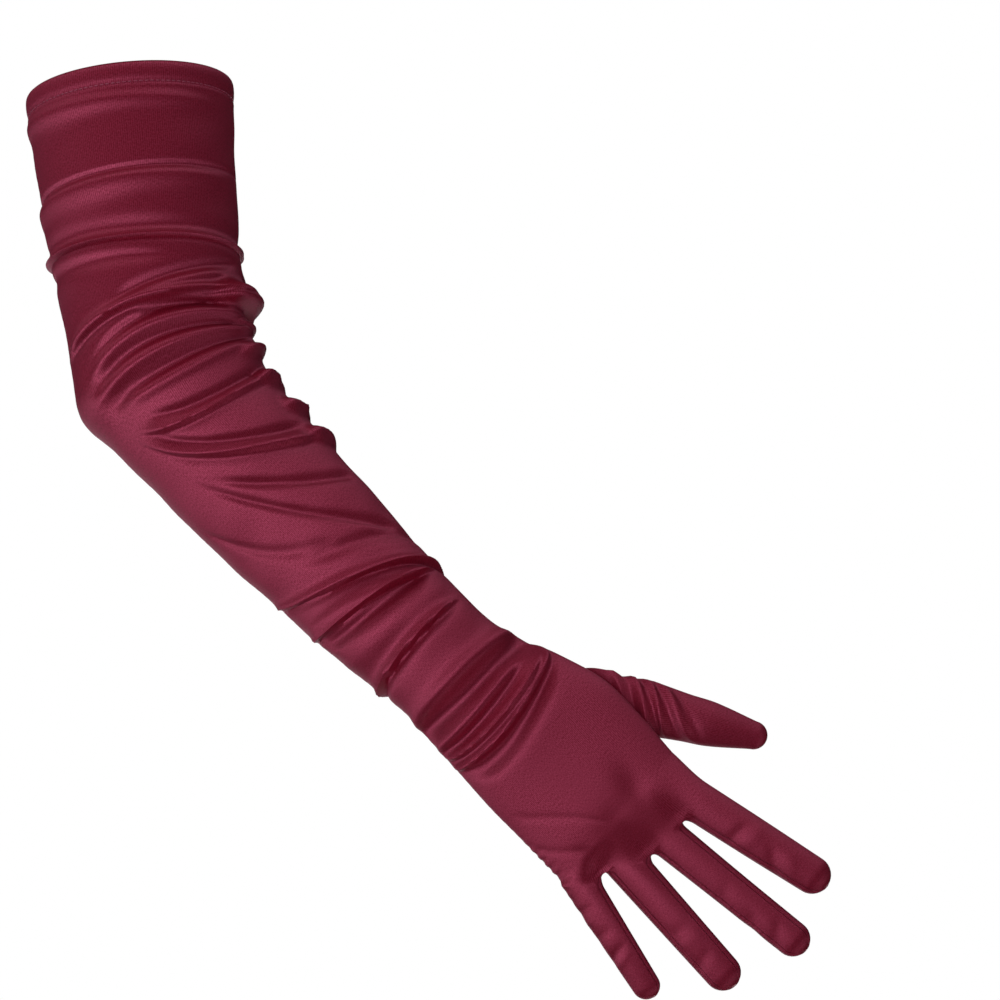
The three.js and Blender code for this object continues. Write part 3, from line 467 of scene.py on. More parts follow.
hand_down, hand_side, hand_front = directions(np.float64(2))
wrist_centre, knuckle_centre = centre_at(1.0), centre_at(2.0)
row_width = sum(2 * finger["half"] for finger in FINGERS) + FORK_WIDTH * (len(FINGERS) - 1)
edge = FINGERS_SHIFT * HAND_HALF - row_width / 2
for k, finger in enumerate(FINGERS):
    near, far = finger["forks"]
    along = (near + far) / 2 * PALM_LENGTH
    across = edge + finger["half"]
    turn = math.radians(finger["spread"])
    edge += 2 * finger["half"] + FORK_WIDTH
    finger["tilt"] = (far - near) / 2 * PALM_LENGTH
    finger["centre"] = knuckle_centre + hand_down * along + hand_side * across
    finger["down"] = hand_down * math.cos(turn) + hand_side * math.sin(turn)
    finger["side"] = hand_side * math.cos(turn) - hand_down * math.sin(turn)
    finger["front"] = hand_front
    finger["form"] = [(0, finger["half"]), (0.5, finger["half"] * finger["waist"])]
    finger["form"] += [(1, finger["half"] * finger["tip"])]
    finger["start"] = 0 if k == 0 else FOURCHETTE_REACH
    finger["end"] = 180 if k == len(FINGERS) - 1 else 180 - FOURCHETTE_REACH


def ring_point(finger, out, half, angle):
    """angle is 0 on the little finger's side, 90 on the back and 270 on the palm side."""
    out, half, angle = (np.asarray(v, float)[..., None] for v in (out, half, np.radians(angle)))
    drop = finger["curl"] * out * out / finger["length"]
    lift = np.sin(angle) * half * FINGER_FLATNESS - drop
    ring = finger["centre"] + finger["down"] * out
    return ring - finger["side"] * np.cos(angle) * half + finger["front"] * lift


def shaft_point(finger, share, angle):
    start = -np.cos(np.radians(angle)) * finger["tilt"]
    end = finger["length"] - finger["half"] * finger["tip"]
    places, halves = zip(*finger["form"])
    half = curve_through(places, halves, np.asarray(share, float))
    return ring_point(finger, start + (end - start) * share, half, angle)


def tip_point(finger, turn, angle):
    ball = finger["half"] * finger["tip"]
    out = finger["length"] - ball + ball * math.sin(math.radians(turn))
    return ring_point(finger, out, ball * math.cos(math.radians(turn)), angle)


def crease_height(creases, out, angle):
    height = np.zeros(np.broadcast(out, angle).shape)
    for place, middle, reach, slant, rise, spread in creases:
        around = np.mod(angle - middle + 180, 360) - 180
        line = place - slant * around / 90
        fade = ease(1 - np.abs(around) / reach, 0, 0.6)
        height = height + rise * fade * np.exp(-(((out - line) / spread) ** 2))
    return height


def outwards(finger, angle):
    angle = np.radians(angle)[:, None]
    return finger["front"] * np.sin(angle) - finger["side"] * np.cos(angle)


def finger_ring(k):
    """The columns round a finger: its angle, the hand's column, the piece and what it shares."""
    finger = FINGERS[k]
    face_span = (finger["end"] - finger["start"]) / FACE_COLUMNS
    flank = 2 * FOURCHETTE_REACH / FOURCHETTE_COLUMNS
    ring = []
    for m in range(FACE_COLUMNS):
        ring.append((finger["start"] + face_span * m, k * FACE_COLUMNS + m, "trank"))
    if k < len(FINGERS) - 1:
        strip = f"fourchette_{FINGER_NAMES[k + 1]}_{FINGER_NAMES[k]}"
        for m in range(FOURCHETTE_COLUMNS):
            column = (k + 1) * FACE_COLUMNS if m == 0 else None
            ring.append((finger["end"] + flank * m, column, strip))
    for m in range(FACE_COLUMNS, 0, -1):
        column = COLUMNS - k * FACE_COLUMNS - m
        ring.append((360 - finger["start"] - face_span * m, column, "trank"))
    if k > 0:
        strip = f"fourchette_{FINGER_NAMES[k]}_{FINGER_NAMES[k - 1]}"
        for m in range(FOURCHETTE_COLUMNS):
            column = COLUMNS - k * FACE_COLUMNS if m == 0 else None
            ring.append((360 - finger["start"] + flank * m, column, strip))
    return ring


def fork_pull(k, out):
    """How far each column of a finger is drawn towards the cloth of its forks, near them."""
    finger = FINGERS[k]
    free = np.sqrt(1 - (1 - np.clip(out / FORK_ROUND, 0, 1)) ** 2)
    end = finger["length"] - finger["half"] * finger["tip"]
    share = out / end
    column_span = (180 - 2 * FOURCHETTE_REACH) / FACE_COLUMNS
    moves = []
    for angle, _, _ in finger_ring(k):
        angle = angle % 360
        move = np.zeros(3)
        for other, here in ((k + 1, 180), (k - 1, 0)):
            if not 0 <= other < len(FINGERS):
                continue
            from_flank = (angle - here + 180) % 360 - 180
            seam = math.copysign(min(abs(from_flank), FOURCHETTE_REACH), from_flank)
            own_angle, other_angle = here + seam, (180 - here) - seam
            mine = shaft_point(finger, 0, own_angle)
            theirs = shaft_point(FINGERS[other], 0, other_angle)
            way = (finger["down"] + FINGERS[other]["down"]) / 2
            middle = (mine + theirs) / 2 + way * out
            columns_off = (abs(from_flank) - abs(seam)) / column_span
            weight = max(0, 1 - columns_off / FORK_PULL) ** 2
            move = move + (middle - shaft_point(finger, share, own_angle)) * weight * (1 - free)
        moves.append(move)
    return np.array(moves)


# From the knuckles to the forks the cloth is still one ring, and the columns between two fingers
# run to the middle of both
targets = [[] for _ in range(COLUMNS)]
finger_rings = [finger_ring(k) for k in range(len(FINGERS))]
for k, finger in enumerate(FINGERS):
    angles = np.array([angle for angle, _, _ in finger_rings[k]])
    places = shaft_point(finger, 0, angles) + fork_pull(k, 0)
    for (angle, column, _), place in zip(finger_rings[k], places):
        if column is not None:
            targets[column % COLUMNS].append((place, finger["down"]))
target_points = np.array([np.mean([place for place, _ in found], axis=0) for found in targets])
target_down = np.array([np.mean([down for _, down in found], axis=0) for found in targets])
knuckles = grid[-1]
reach = np.linalg.norm(target_points - knuckles, axis=1)[:, None]
above = rows[-1]
for row in range(1, FORK_ROWS + 1):
    share = row / FORK_ROWS
    ring = hermite(knuckles, target_points, hand_down * reach, target_down * reach, share)
    along = SLEEVE_LENGTH + PALM_LENGTH + reach[:, 0] * share
    next_ring = add_points(ring, turns * CLOTH_ROUND, along)
    join_rings(above, next_ring, ["trank"] * COLUMNS)
    above = next_ring
fork_ring = above

# Round each finger, from its forks to the tip
webs = {}
for k, finger in enumerate(FINGERS):
    angles = np.array([angle for angle, _, _ in finger_rings[k]])
    pieces = [piece for _, _, piece in finger_rings[k]]
    end = finger["length"] - finger["half"] * finger["tip"]
    steps = round((end - FORK_OUTS[-1]) / FINGER_STEP)
    outs = FORK_OUTS + list(np.linspace(FORK_OUTS[-1], end, steps + 1)[1:])
    first = shaft_point(finger, 0, angles) + fork_pull(k, 0)
    cloth_across = np.radians(angles) * finger["half"]
    ring = []
    for m, (angle, column, piece) in enumerate(finger_rings[k]):
        if column is not None:
            ring.append(fork_ring[column % COLUMNS])
            cloth_across[m] = (column % COLUMNS) * CLOTH_ROUND / COLUMNS
            continue
        own_side = k == 0 or piece.endswith(FINGER_NAMES[k])
        key = (piece, round(angle if own_side else 540 - angle % 360) % 360)
        if key not in webs:
            webs[key] = add_points([first[m]], cloth_across[m], SLEEVE_LENGTH + PALM_LENGTH)[0]
        ring.append(webs[key])
    above = np.array(ring)
    start_along = SLEEVE_LENGTH + PALM_LENGTH + finger["forks"][0] * PALM_LENGTH
    for out in outs:
        points = shaft_point(finger, out / end, angles) + fork_pull(k, out)
        lift = crease_height(CREASES[FINGER_NAMES[k]], out, angles) * ease(out, 0, 4)
        points = points + outwards(finger, angles) * lift[:, None]
        after = add_points(points, cloth_across, start_along + out)
        join_rings(above, after, pieces)
        above = after
    for turn in TIP_TURNS:
        along = start_along + end + finger["half"] * math.radians(turn)
        after = add_points(tip_point(finger, turn, angles), cloth_across, along)
        join_rings(above, after, pieces)
        above = after
    close_tip(above, tip_point(finger, 90, 0), "trank")

# The thumb
# A sleeve of satin of its own, set into the hole at the root of the hand. Where the palm's cloth
# is eased into it, it is gathered into three pleats.
THUMB_LENGTH = 56
THUMB_HALF = 10.4
THUMB_ROOT = dict(along=0.74, across=1.2, depth=-0.4)
THUMB_SPREAD = 27
THUMB_DROP = 5
THUMB_FORM = [(0, 1.2), (0.35, 1.04), (0.6, 0.97), (1, 0.62)]
THUMB_ROOT_ROWS = 24
THUMB_ROWS = 60
# Where the shaft begins along the thumb's own cloth
THUMB_CLOTH_START = 60
# Degrees round the thumb at which the corners of its hole arrive
EDGE_FAR, EDGE_NEAR, PALM_NEAR, PALM_FAR = 35, 145, 215, 325

spread, drop = math.radians(THUMB_SPREAD), math.radians(THUMB_DROP)
thumb_flat = hand_down * math.cos(spread) + hand_side * math.sin(spread)
thumb_down = thumb_flat * math.cos(drop) - hand_front * math.sin(drop)
thumb_side = hand_side * math.cos(spread) - hand_down * math.sin(spread)
palm_middle = wrist_centre + hand_down * THUMB_ROOT["along"] * PALM_LENGTH
thumb_across = hand_side * THUMB_ROOT["across"] * HAND_HALF
thumb_depth = hand_front * THUMB_ROOT["depth"] * HAND_HALF
thumb = dict(
    centre=palm_middle + thumb_across + thumb_depth,
    down=thumb_down,
    side=thumb_side,
    front=np.cross(thumb_down, thumb_side),
    length=THUMB_LENGTH,
    curl=0,
    tilt=0,
    half=THUMB_HALF,
    tip=THUMB_FORM[-1][1],
    form=[(at, half * THUMB_HALF) for at, half in THUMB_FORM],
)

rim = []
deep, wide = hole_bottom - hole_top, hole_far - hole_near
for m in range(deep):
    rim.append((rows[hole_bottom - m][hole_near], EDGE_FAR + (EDGE_NEAR - EDGE_FAR) * m / deep))
for m in range(wide):
    rim.append((rows[hole_top][hole_near + m], EDGE_NEAR + (PALM_NEAR - EDGE_NEAR) * m / wide))
for m in range(deep):
    rim.append((rows[hole_top + m][hole_far], PALM_NEAR + (PALM_FAR - PALM_NEAR) * m / deep))
for m in range(wide):
    rim.append((rows[hole_bottom][hole_far - m], PALM_FAR + (EDGE_FAR + 360 - PALM_FAR) * m / wide))
rim_index = np.array([index for index, _ in rim])
rim_angles = np.array([angle for _, angle in rim])
rim_points = np.array([skin_points[index] for index in rim_index])
root_points = shaft_point(thumb, 0, rim_angles)
reach = np.linalg.norm(root_points - rim_points, axis=1)[:, None]
away = rim_points - palm_middle
away -= (away @ hand_down)[:, None] * hand_down
away /= np.linalg.norm(away, axis=1)[:, None]
away += thumb_down
away /= np.linalg.norm(away, axis=1)[:, None]
round_thumb = outwards(thumb, rim_angles)
thumb_cloth = np.radians(rim_angles) * THUMB_HALF
thumb_width = 2 * math.pi * THUMB_HALF
rim_steps = np.linalg.norm(np.roll(rim_points, -1, axis=0) - rim_points, axis=1)
rim_width = rim_steps.sum()
rim_cloth = np.cumsum(rim_steps) - rim_steps
rim_cloth += thumb_cloth.mean() - rim_cloth.mean()
# The rim of the hole has a place of its own on the thumb's cloth
thumb_rim_places = {
    index: (across, THUMB_CLOTH_START - length, rim_width)
    for index, across, length in zip(rim_index, rim_cloth, reach[:, 0])
}
above = rim_index
thumb_end = THUMB_LENGTH - THUMB_HALF * thumb["tip"]
for row in range(1, THUMB_ROOT_ROWS + 1):
    share = row / THUMB_ROOT_ROWS
    ring = hermite(rim_points, root_points, away * reach, thumb_down * reach, share)
    out = -reach[:, 0] * (1 - share)
    lift = crease_height(CREASES["thumb"], out, rim_angles) * ease(share, 0, 0.3)
    across = rim_cloth + (thumb_cloth - rim_cloth) * share
    width = rim_width + (thumb_width - rim_width) * share
    ring = ring + round_thumb * lift[:, None]
    after = add_points(ring, across, THUMB_CLOTH_START + out, width)
    join_rings(above, after, ["thumb"] * len(rim))
    above = after
for row in range(1, THUMB_ROWS + 1):
    share = row / THUMB_ROWS
    lift = crease_height(CREASES["thumb"], thumb_end * share, rim_angles)
    ring = shaft_point(thumb, share, rim_angles) + round_thumb * lift[:, None]
    along = THUMB_CLOTH_START + thumb_end * share
    after = add_points(ring, thumb_cloth, along, thumb_width)
    join_rings(above, after, ["thumb"] * len(rim))
    above = after
for turn in TIP_TURNS:
    along = THUMB_CLOTH_START + thumb_end + THUMB_HALF * math.radians(turn) * thumb["tip"]
    after = add_points(tip_point(thumb, turn, rim_angles), thumb_cloth, along, thumb_width)
    join_rings(above, after, ["thumb"] * len(rim))
    above = after
close_tip(above, tip_point(thumb, 90, 0), "thumb")

# Cutting the skin into its pieces
# Each seam is sewn on the inside and turned, so both edges dip into a fine groove between two low
# ridges. The cloth is given its thickness inwards, and its inner face is the satin's dull reverse.
SEAM_GAP = 0.2
SEAM_DIP = 0.4
SEAM_RISE = 0.14
HEM_DIP = 0.03
# At a seam's corner the edge is drawn back further, to keep its gap, by one over this at most
SHARPEST_CORNER = 0.35

points = np.array(skin_points)

# The hollows between the knuckles, on the back: along and across the hand from the wrist, half
# length and half width, how far they turn from the hand's length, in degrees, and depth
HOLLOWS = [
    (80, 15, 13, 6, -12, 1.9),
    (84, -4, 9, 13, 20, 1.6),
    (83, -21, 8, 6, 10, 0.9),
]
from_wrist = points - wrist_centre
hand_along, hand_across = from_wrist @ hand_down, from_wrist @ hand_side
on_back = ease(from_wrist @ hand_front, 1, 6)
for along, across, half_length, half_width, turned, depth in HOLLOWS:
    turned = math.radians(turned)
    ahead, beside = hand_along - along, hand_across - across
    lengthwise = (ahead * math.cos(turned) + beside * math.sin(turned)) / half_length
    crosswise = (beside * math.cos(turned) - ahead * math.sin(turned)) / half_width
    sunk = depth * np.exp(-(lengthwise**2) - crosswise**2) * on_back
    points = points - hand_front * sunk[:, None]

cloth_places = np.array(skin_cloth)
corner_lists = [list(face) for face in skin_faces]
first_four = np.array([(face + face[-1:])[:4] if len(face) == 3 else face for face in corner_lists])
diagonals = np.cross(
    points[first_four[:, 2]] - points[first_four[:, 0]],
    points[first_four[:, 3]] - points[first_four[:, 1]],
)
normals = np.zeros_like(points)
for corner in range(4):
    np.add.at(normals, first_four[:, corner], diagonals)
normals /= np.maximum(np.linalg.norm(normals, axis=1), 1e-12)[:, None]


def linear(hex_colour):
    """A hex sRGB colour as the linear one that a shader takes."""
    channels = [int(hex_colour[k : k + 2], 16) / 255 for k in (1, 3, 5)]
    return (
        *[c / 12.92 if c <= 0.04045 else ((c + 0.055) / 1.055) ** 2.4 for c in channels],
        1,
    )


def add_node(tree, kind, settings=(), inputs=(), links=()):
    """A shader node with its settings, its inputs' values and the sockets that lead into it."""
    node = tree.nodes.new(kind)
    for name, value in dict(settings).items():
        setattr(node, name, value)
    for name, value in dict(inputs).items():
        node.inputs[name].default_value = value
    for name, socket in dict(links).items():
        tree.links.new(socket, node.inputs[name])
    return node


# Stretch satin, a warp knit of fine bright yarn. Its colour lies deep in the yarn, and its yarns
# run down the arm and the fingers, so its broad tinted gloss spreads round them and is narrow along
# them. The fine ribs of the knit are about 0.8 mm apart. The grain between them is drawn coarser
# than the real yarn, which is too fine to show.
SATIN_SHADE = "#600618"
SATIN_LIGHT = "#730C22"
SATIN_GLOSS = "#FF7DA6"
RIB_SPACING = 0.8
YARN = 0.28
# The grain's values from the cloth's shade to its light
MOTTLE_LOW, MOTTLE_HIGH = 0.36, 0.64

satin = bpy.data.materials.new("burgundy stretch satin")
satin.use_nodes = True
tree = satin.node_tree
tree.nodes.clear()
flat_cloth = add_node(tree, "ShaderNodeUVMap", {"uv_map": "cloth"})
ribs = add_node(
    tree,
    "ShaderNodeTexWave",
    {"wave_type": "BANDS", "bands_direction": "X", "wave_profile": "SIN"},
    {"Scale": 0.314 / (RIB_SPACING * MM), "Distortion": 0.0},
    {"Vector": flat_cloth.outputs["UV"]},
)
stretched = add_node(
    tree,
    "ShaderNodeMapping",
    inputs={"Scale": (1, 0.6, 1)},
    links={"Vector": flat_cloth.outputs["UV"]},
)
grain = add_node(
    tree,
    "ShaderNodeTexNoise",
    inputs={"Scale": 1 / (YARN * 2 * MM), "Detail": 2.0, "Roughness": 0.6},
    links={"Vector": stretched.outputs["Vector"]},
)
mottle = add_node(
    tree,
    "ShaderNodeMix",
    {"data_type": "FLOAT"},
    {"Factor": 0.2},
    {"A": grain.outputs["Fac"], "B": ribs.outputs["Fac"]},
)
colour = add_node(tree, "ShaderNodeValToRGB", links={"Fac": mottle.outputs["Result"]})
colour.color_ramp.elements[0].position = MOTTLE_LOW
colour.color_ramp.elements[0].color = linear(SATIN_SHADE)
colour.color_ramp.elements[1].position = MOTTLE_HIGH
colour.color_ramp.elements[1].color = linear(SATIN_LIGHT)
grain_bump = add_node(
    tree,
    "ShaderNodeBump",
    inputs={"Strength": 0.2, "Distance": 0.1 * MM},
    links={"Height": mottle.outputs["Result"]},
)
sparkle = add_node(
    tree,
    "ShaderNodeMapRange",
    inputs={"From Min": MOTTLE_LOW, "From Max": MOTTLE_HIGH, "To Min": 0.24, "To Max": 0.84},
    links={"Value": mottle.outputs["Result"]},
)
across_yarns = add_node(
    tree,
    "ShaderNodeTangent",
    {"direction_type": "UV_MAP", "uv_map": "cloth"},
)
satin_shader = add_node(
    tree,
    "ShaderNodeBsdfPrincipled",
    inputs={
        "Roughness": 0.55,
        "Anisotropic": 0.8,
        "IOR": 2.2,
        "Specular Tint": linear(SATIN_GLOSS),
    },
    links={
        "Base Color": colour.outputs["Color"],
        "Specular IOR Level": sparkle.outputs["Result"],
        "Normal": grain_bump.outputs["Normal"],
        "Tangent": across_yarns.outputs["Tangent"],
    },
)
add_node(
    tree, "ShaderNodeOutputMaterial", links={"Surface": satin_shader.outputs["BSDF"]}
)

# The reverse of the satin: the same yarn without the gloss
reverse = satin.copy()
reverse.name = "burgundy satin reverse"
reverse_shader = next(n for n in reverse.node_tree.nodes if n.type == "BSDF_PRINCIPLED")
reverse_shader.inputs["Roughness"].default_value = 0.75
reverse_shader.inputs["IOR"].default_value = 1.45
reverse_shader.inputs["Anisotropic"].default_value = 0


# A piece is thinned to this share of its faces, on its inner face
INNER_FACE_RATIO = 0.55
SMOOTH_ANGLE = 55


def select_only(piece):
    bpy.ops.object.select_all(action="DESELECT")
    piece.select_set(True)
    bpy.context.view_layer.objects.active = piece


def piece_edges(faces):
    """Edges that one face of a piece has alone, with the direction that leads into that face."""
    edges = {}
    for face in faces:
        a, b, c = points[face[0]], points[face[1]], points[face[2]]
        facing = np.cross(b - a, c - a)
        for k in range(len(face)):
            start, stop = face[k], face[(k + 1) % len(face)]
            if edges.pop((stop, start), None) is None:
                edges[(start, stop)] = facing
    return edges


def sew_piece(name):
    """One piece of cloth from its part of the skin, with its groove along each seam."""
    faces = [face for face, piece in zip(corner_lists, skin_pieces) if piece == name]
    used = sorted({index for face in faces for index in face})
    number = {index: k for k, index in enumerate(used)}
    places = points[used].copy()
    shifts = {}
    for (start, stop), facing in piece_edges(faces).items():
        inwards = np.cross(facing, points[stop] - points[start])
        length = np.linalg.norm(inwards)
        if length < 1e-9:
            continue
        for index in (start, stop):
            shifts.setdefault(index, []).append(inwards / length)
    for index, ways in shifts.items():
        total = np.sum(ways, axis=0)
        total /= max(np.linalg.norm(total), 1e-9)
        share = max(float(total @ ways[0]), SHARPEST_CORNER)
        dip = HEM_DIP if cloth_places[index, 1] < HEM_DEPTH + 0.1 else SEAM_DIP
        places[number[index]] += total * SEAM_GAP / 2 / share - normals[index] * dip
    beside = {index for face in faces if shifts.keys() & set(face) for index in face}
    for index in beside - shifts.keys():
        places[number[index]] += normals[index] * SEAM_RISE
    mesh = bpy.data.meshes.new(name)
    local_faces = [[number[index] for index in face] for face in faces]
    mesh.from_pydata((places * MM).tolist(), [], local_faces)
    flat = mesh.uv_layers.new(name="cloth")
    own_places = cloth_places.copy()
    if name == "thumb":
        for index, place in thumb_rim_places.items():
            own_places[index] = place
    corners = []
    for face in faces:
        across, along, width = own_places[face].T
        if across.max() - across.min() > width.min() / 2:
            across = np.where(across < width / 2, across + width, across)
        corners.append(np.stack([across, along], axis=1) * MM)
    flat.data.foreach_set("uv", np.concatenate(corners).astype(np.float32).ravel())
    piece = bpy.data.objects.new(name + "_cloth", mesh)
    bpy.context.scene.collection.objects.link(piece)
    mesh.materials.append(satin)
    mesh.materials.append(reverse)
    select_only(piece)
    wall = piece.modifiers.new("cloth thickness", "SOLIDIFY")
    wall.thickness = CLOTH * MM
    wall.offset = -1
    wall.material_offset = 1
    wall.shell_vertex_group = piece.vertex_groups.new(name="inner face").name
    bpy.ops.object.modifier_apply(modifier=wall.name)
    thinning = piece.modifiers.new("coarser inner face", "DECIMATE")
    thinning.vertex_group = "inner face"
    thinning.ratio = INNER_FACE_RATIO
    bpy.ops.object.modifier_apply(modifier=thinning.name)
    bpy.ops.object.shade_smooth_by_angle(angle=math.radians(SMOOTH_ANGLE))
    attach(piece, "root")
    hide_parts(name)
    return piece


trank = sew_piece("trank")
thumb_piece = sew_piece("thumb")
fourchettes = [
    sew_piece(f"fourchette_{FINGER_NAMES[k + 1]}_{FINGER_NAMES[k]}")
    for k in range(len(FINGERS) - 1)
]

# The hem
# The sleeve's top edge is turned in and stitched down 10 mm below the fold. The two layers stand a
# little away from the arm, and the fold is soft and round.
HEM_COLUMNS = 192
# The hem's cross-section, from its lower outer edge over the fold to the inside: how far below the
# fold, and how far inside the outer face
HEM_SECTION = [
    (10.45, 0.9),
    (10.45, 0.06),
    (10.2, 0.0),
    (9.3, 0.0),
    (8.2, -0.04),
    (6.6, -0.12),
    (4.8, -0.12),
    (3.2, 0.0),
    (2.0, 0.2),
    (1.1, 0.5),
    (0.45, 0.95),
    (0.0, 1.6),
    (0.3, 2.25),
    (0.9, 2.5),
    (2.2, 2.5),
    (5.0, 2.4),
    (8.0, 2.3),
    (10.2, 2.3),
]


def cloth_normal(at, turn):
    step = 0.0015
    down = sleeve_point(at + step, turn) - sleeve_point(at - step, turn)
    around = sleeve_point(at, turn + step) - sleeve_point(at, turn - step)
    normal = np.cross(down, around)
    return normal / np.linalg.norm(normal, axis=-1, keepdims=True)


hem_turns = np.arange(HEM_COLUMNS) / HEM_COLUMNS
out_of_hem = cloth_normal(np.full(HEM_COLUMNS, hem_end / 2), hem_turns)
hem_rings = []
for below, inside in HEM_SECTION:
    at = np.full(HEM_COLUMNS, below / SLEEVE_LENGTH)
    hem_rings.append(sleeve_point(at, hem_turns) - out_of_hem * inside)
hem_rings = np.array(hem_rings)
hem_mesh = bpy.data.meshes.new("hem")
hem_faces = []
for k in range(len(HEM_SECTION)):
    n = (k + 1) % len(HEM_SECTION)
    for m in range(HEM_COLUMNS):
        after = (m + 1) % HEM_COLUMNS
        face = (k * HEM_COLUMNS + m, k * HEM_COLUMNS + after)
        hem_faces.append(face + (n * HEM_COLUMNS + after, n * HEM_COLUMNS + m))
hem_mesh.from_pydata((hem_rings.reshape(-1, 3) * MM).tolist(), [], hem_faces)
hem_flat = hem_mesh.uv_layers.new(name="cloth")
hem_uv = []
for k in range(len(HEM_SECTION)):
    low, high = HEM_SECTION[k], HEM_SECTION[(k + 1) % len(HEM_SECTION)]
    for m in range(HEM_COLUMNS):
        left, right = (turn * CLOTH_ROUND / HEM_COLUMNS * MM for turn in (m, m + 1))
        below, above_it = (spot[0] * MM for spot in (low, high))
        hem_uv += [(left, below), (right, below), (right, above_it), (left, above_it)]
hem_flat.data.foreach_set("uv", np.array(hem_uv, np.float32).ravel())
hem_mesh.materials.append(satin)
hem = bpy.data.objects.new("hem_cloth", hem_mesh)
bpy.context.scene.collection.objects.link(hem)
select_only(hem)
bpy.ops.object.shade_smooth()
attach(hem, "root")
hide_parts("hem")

# The hem's stitches
# One row of short lockstitches in matching polyester thread holds the turned edge down. Each dips
# into the cloth at both ends.
STITCH_LENGTH = 2.5
STITCH_SHARE = 0.86
STITCH_ABOVE_EDGE = 0.7
STITCH_RISE = 0.05
STITCHES = 115
THREAD = 0.6
THREAD_COLOUR = "#8A2A48"

# The thread is a shade lighter than the cloth, so the stitches read as a fine broken line
thread = bpy.data.materials.new("burgundy polyester thread")
thread.use_nodes = True
thread_shader = thread.node_tree.nodes["Principled BSDF"]
thread_shader.inputs["Base Color"].default_value = linear(THREAD_COLOUR)
thread_shader.inputs["Roughness"].default_value = 0.5

bpy.ops.object.select_all(action="DESELECT")
bpy.ops.mesh.primitive_uv_sphere_add(segments=8, ring_count=6, radius=0.5)
stitch = bpy.context.object
stitch.scale = (STITCH_LENGTH * STITCH_SHARE * MM, THREAD * MM, THREAD * MM)
bpy.ops.object.transform_apply(location=False, rotation=False, scale=True)
stitch_mesh = stitch.data
stitch_shape = np.array([vertex.co for vertex in stitch_mesh.vertices])
stitch_turns = np.arange(STITCHES) / STITCHES
stitch_at = np.full(STITCHES, (HEM_DEPTH - STITCH_ABOVE_EDGE) / SLEEVE_LENGTH)
stitch_places = sleeve_point(stitch_at, stitch_turns)
stitch_out = cloth_normal(stitch_at, stitch_turns)
stitch_way = sleeve_point(stitch_at, stitch_turns + 0.002) - stitch_places
stitch_way /= np.linalg.norm(stitch_way, axis=1)[:, None]
copies = [stitch]
for place, out, way in zip(stitch_places, stitch_out, stitch_way):
    copy = stitch.copy()
    copy.data = stitch_mesh.copy()
    bpy.context.scene.collection.objects.link(copy)
    turned = stitch_shape @ np.array([way, np.cross(out, way), out])
    spots = turned + (place + out * STITCH_RISE) * MM
    copy.data.vertices.foreach_set("co", spots.astype(np.float32).ravel())
    copies.append(copy)
bpy.data.objects.remove(copies.pop(0))
bpy.ops.object.select_all(action="DESELECT")
for copy in copies:
    copy.select_set(True)
bpy.context.view_layer.objects.active = copies[0]
bpy.ops.object.join()
stitches = bpy.context.object
stitches.name = "hem_stitches"
stitches.data.materials.clear()
stitches.data.materials.append(thread)
bpy.ops.object.shade_smooth()
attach(stitches, "root")

# The floor, the light and the camera
# A pale floor well below the fingertips, broad soft lamps and a pale surround.
FLOOR_DROP = 0.85
bpy.ops.object.select_all(action="DESELECT")
bpy.ops.mesh.primitive_plane_add(size=4, location=(0.17, 0, -FLOOR_DROP))
floor = bpy.context.object
floor.name = "floor"
pale = bpy.data.materials.new("pale matt floor")
pale.use_nodes = True
pale_shader = pale.node_tree.nodes["Principled BSDF"]
pale_shader.inputs["Base Color"].default_value = linear("#EFEDEA")
pale_shader.inputs["Roughness"].default_value = 0.9
pale_shader.inputs["Specular IOR Level"].default_value = 0.1
floor.data.materials.append(pale)
floor.visible_glossy = False

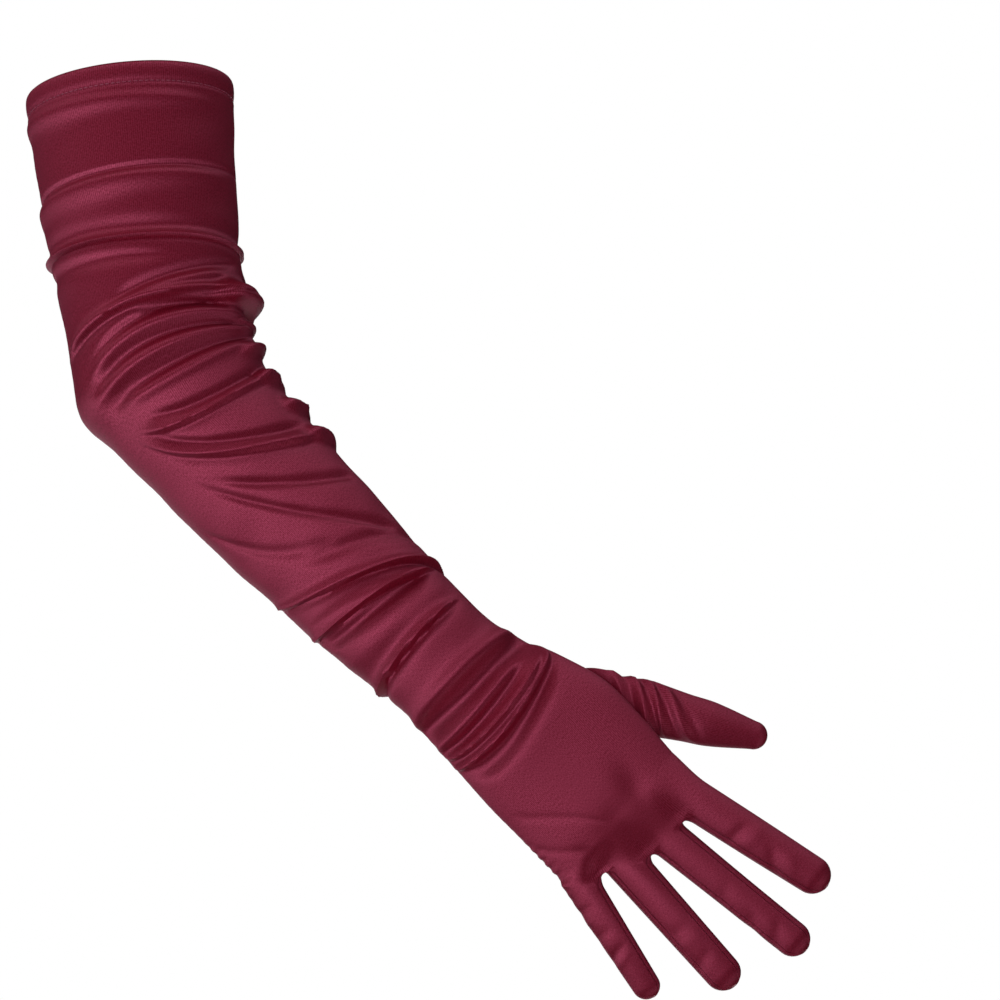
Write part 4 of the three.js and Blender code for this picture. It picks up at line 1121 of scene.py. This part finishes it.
# Where each lamp's light comes from: azimuth from the camera's side, less than 0 to its left, and
# elevation. Three light the cloth's own colour, the one behind for the palm side, and the others
# only give the satin its gloss. Each fills an angle of LAMP_SOFTNESS degrees.
LAMPS = [
    dict(name="left", azimuth=-75, elevation=60, strength=1.2, gloss=False, body=True),
    dict(name="front", azimuth=0, elevation=0, strength=0.95, gloss=False, body=True),
    dict(name="back", azimuth=180, elevation=15, strength=1.4, gloss=False, body=True),
    dict(name="low gloss", azimuth=-18, elevation=-19, strength=2.5, gloss=True, body=False),
    dict(name="left gloss", azimuth=-78, elevation=-24, strength=1.1, gloss=True, body=False),
    dict(name="high gloss", azimuth=-80, elevation=40, strength=0.6, gloss=True, body=False),
    dict(name="right gloss", azimuth=70, elevation=60, strength=0.7, gloss=True, body=False),
    dict(name="under gloss", azimuth=70, elevation=-40, strength=0.4, gloss=True, body=False),
    dict(name="back gloss", azimuth=184, elevation=-22, strength=1.5, gloss=True, body=False),
]
LAMP_SOFTNESS = 50
for lamp in LAMPS:
    sun = bpy.data.lights.new(lamp["name"], "SUN")
    sun.energy = lamp["strength"]
    sun.angle = math.radians(LAMP_SOFTNESS)
    sun_object = bpy.data.objects.new(lamp["name"] + "_lamp", sun)
    bpy.context.scene.collection.objects.link(sun_object)
    sun_object.rotation_euler = (
        math.radians(90 - lamp["elevation"]),
        0,
        math.radians(lamp["azimuth"]),
    )
    sun_object.visible_glossy = lamp["gloss"]
    sun_object.visible_diffuse = lamp["body"]

world = bpy.data.worlds.new("pale studio")
world.use_nodes = True
world.cycles_visibility.glossy = False
bpy.context.scene.world = world
tree = world.node_tree
tree.nodes.clear()
rays = add_node(tree, "ShaderNodeLightPath")
surround = add_node(
    tree,
    "ShaderNodeBackground",
    inputs={"Color": linear("#F4F4F6"), "Strength": 0.32},
)
seen = add_node(
    tree,
    "ShaderNodeBackground",
    inputs={"Color": linear("#FFFFFF"), "Strength": 1.0},
)
both = add_node(tree, "ShaderNodeMixShader", links={"Fac": rays.outputs["Is Camera Ray"]})
tree.links.new(surround.outputs["Background"], both.inputs[1])
tree.links.new(seen.outputs["Background"], both.inputs[2])
add_node(tree, "ShaderNodeOutputWorld", links={"Surface": both.outputs["Shader"]})

bpy.context.scene.view_settings.view_transform = "Standard"

lens = bpy.data.cameras.new("camera")
lens.lens = 200
lens.sensor_width = 36
camera = bpy.data.objects.new("camera", lens)
bpy.context.scene.collection.objects.link(camera)
camera.location = (0.16873, -2.53, -0.18603)
camera.rotation_euler = (math.radians(90), 0, 0)
bpy.context.scene.camera = camera
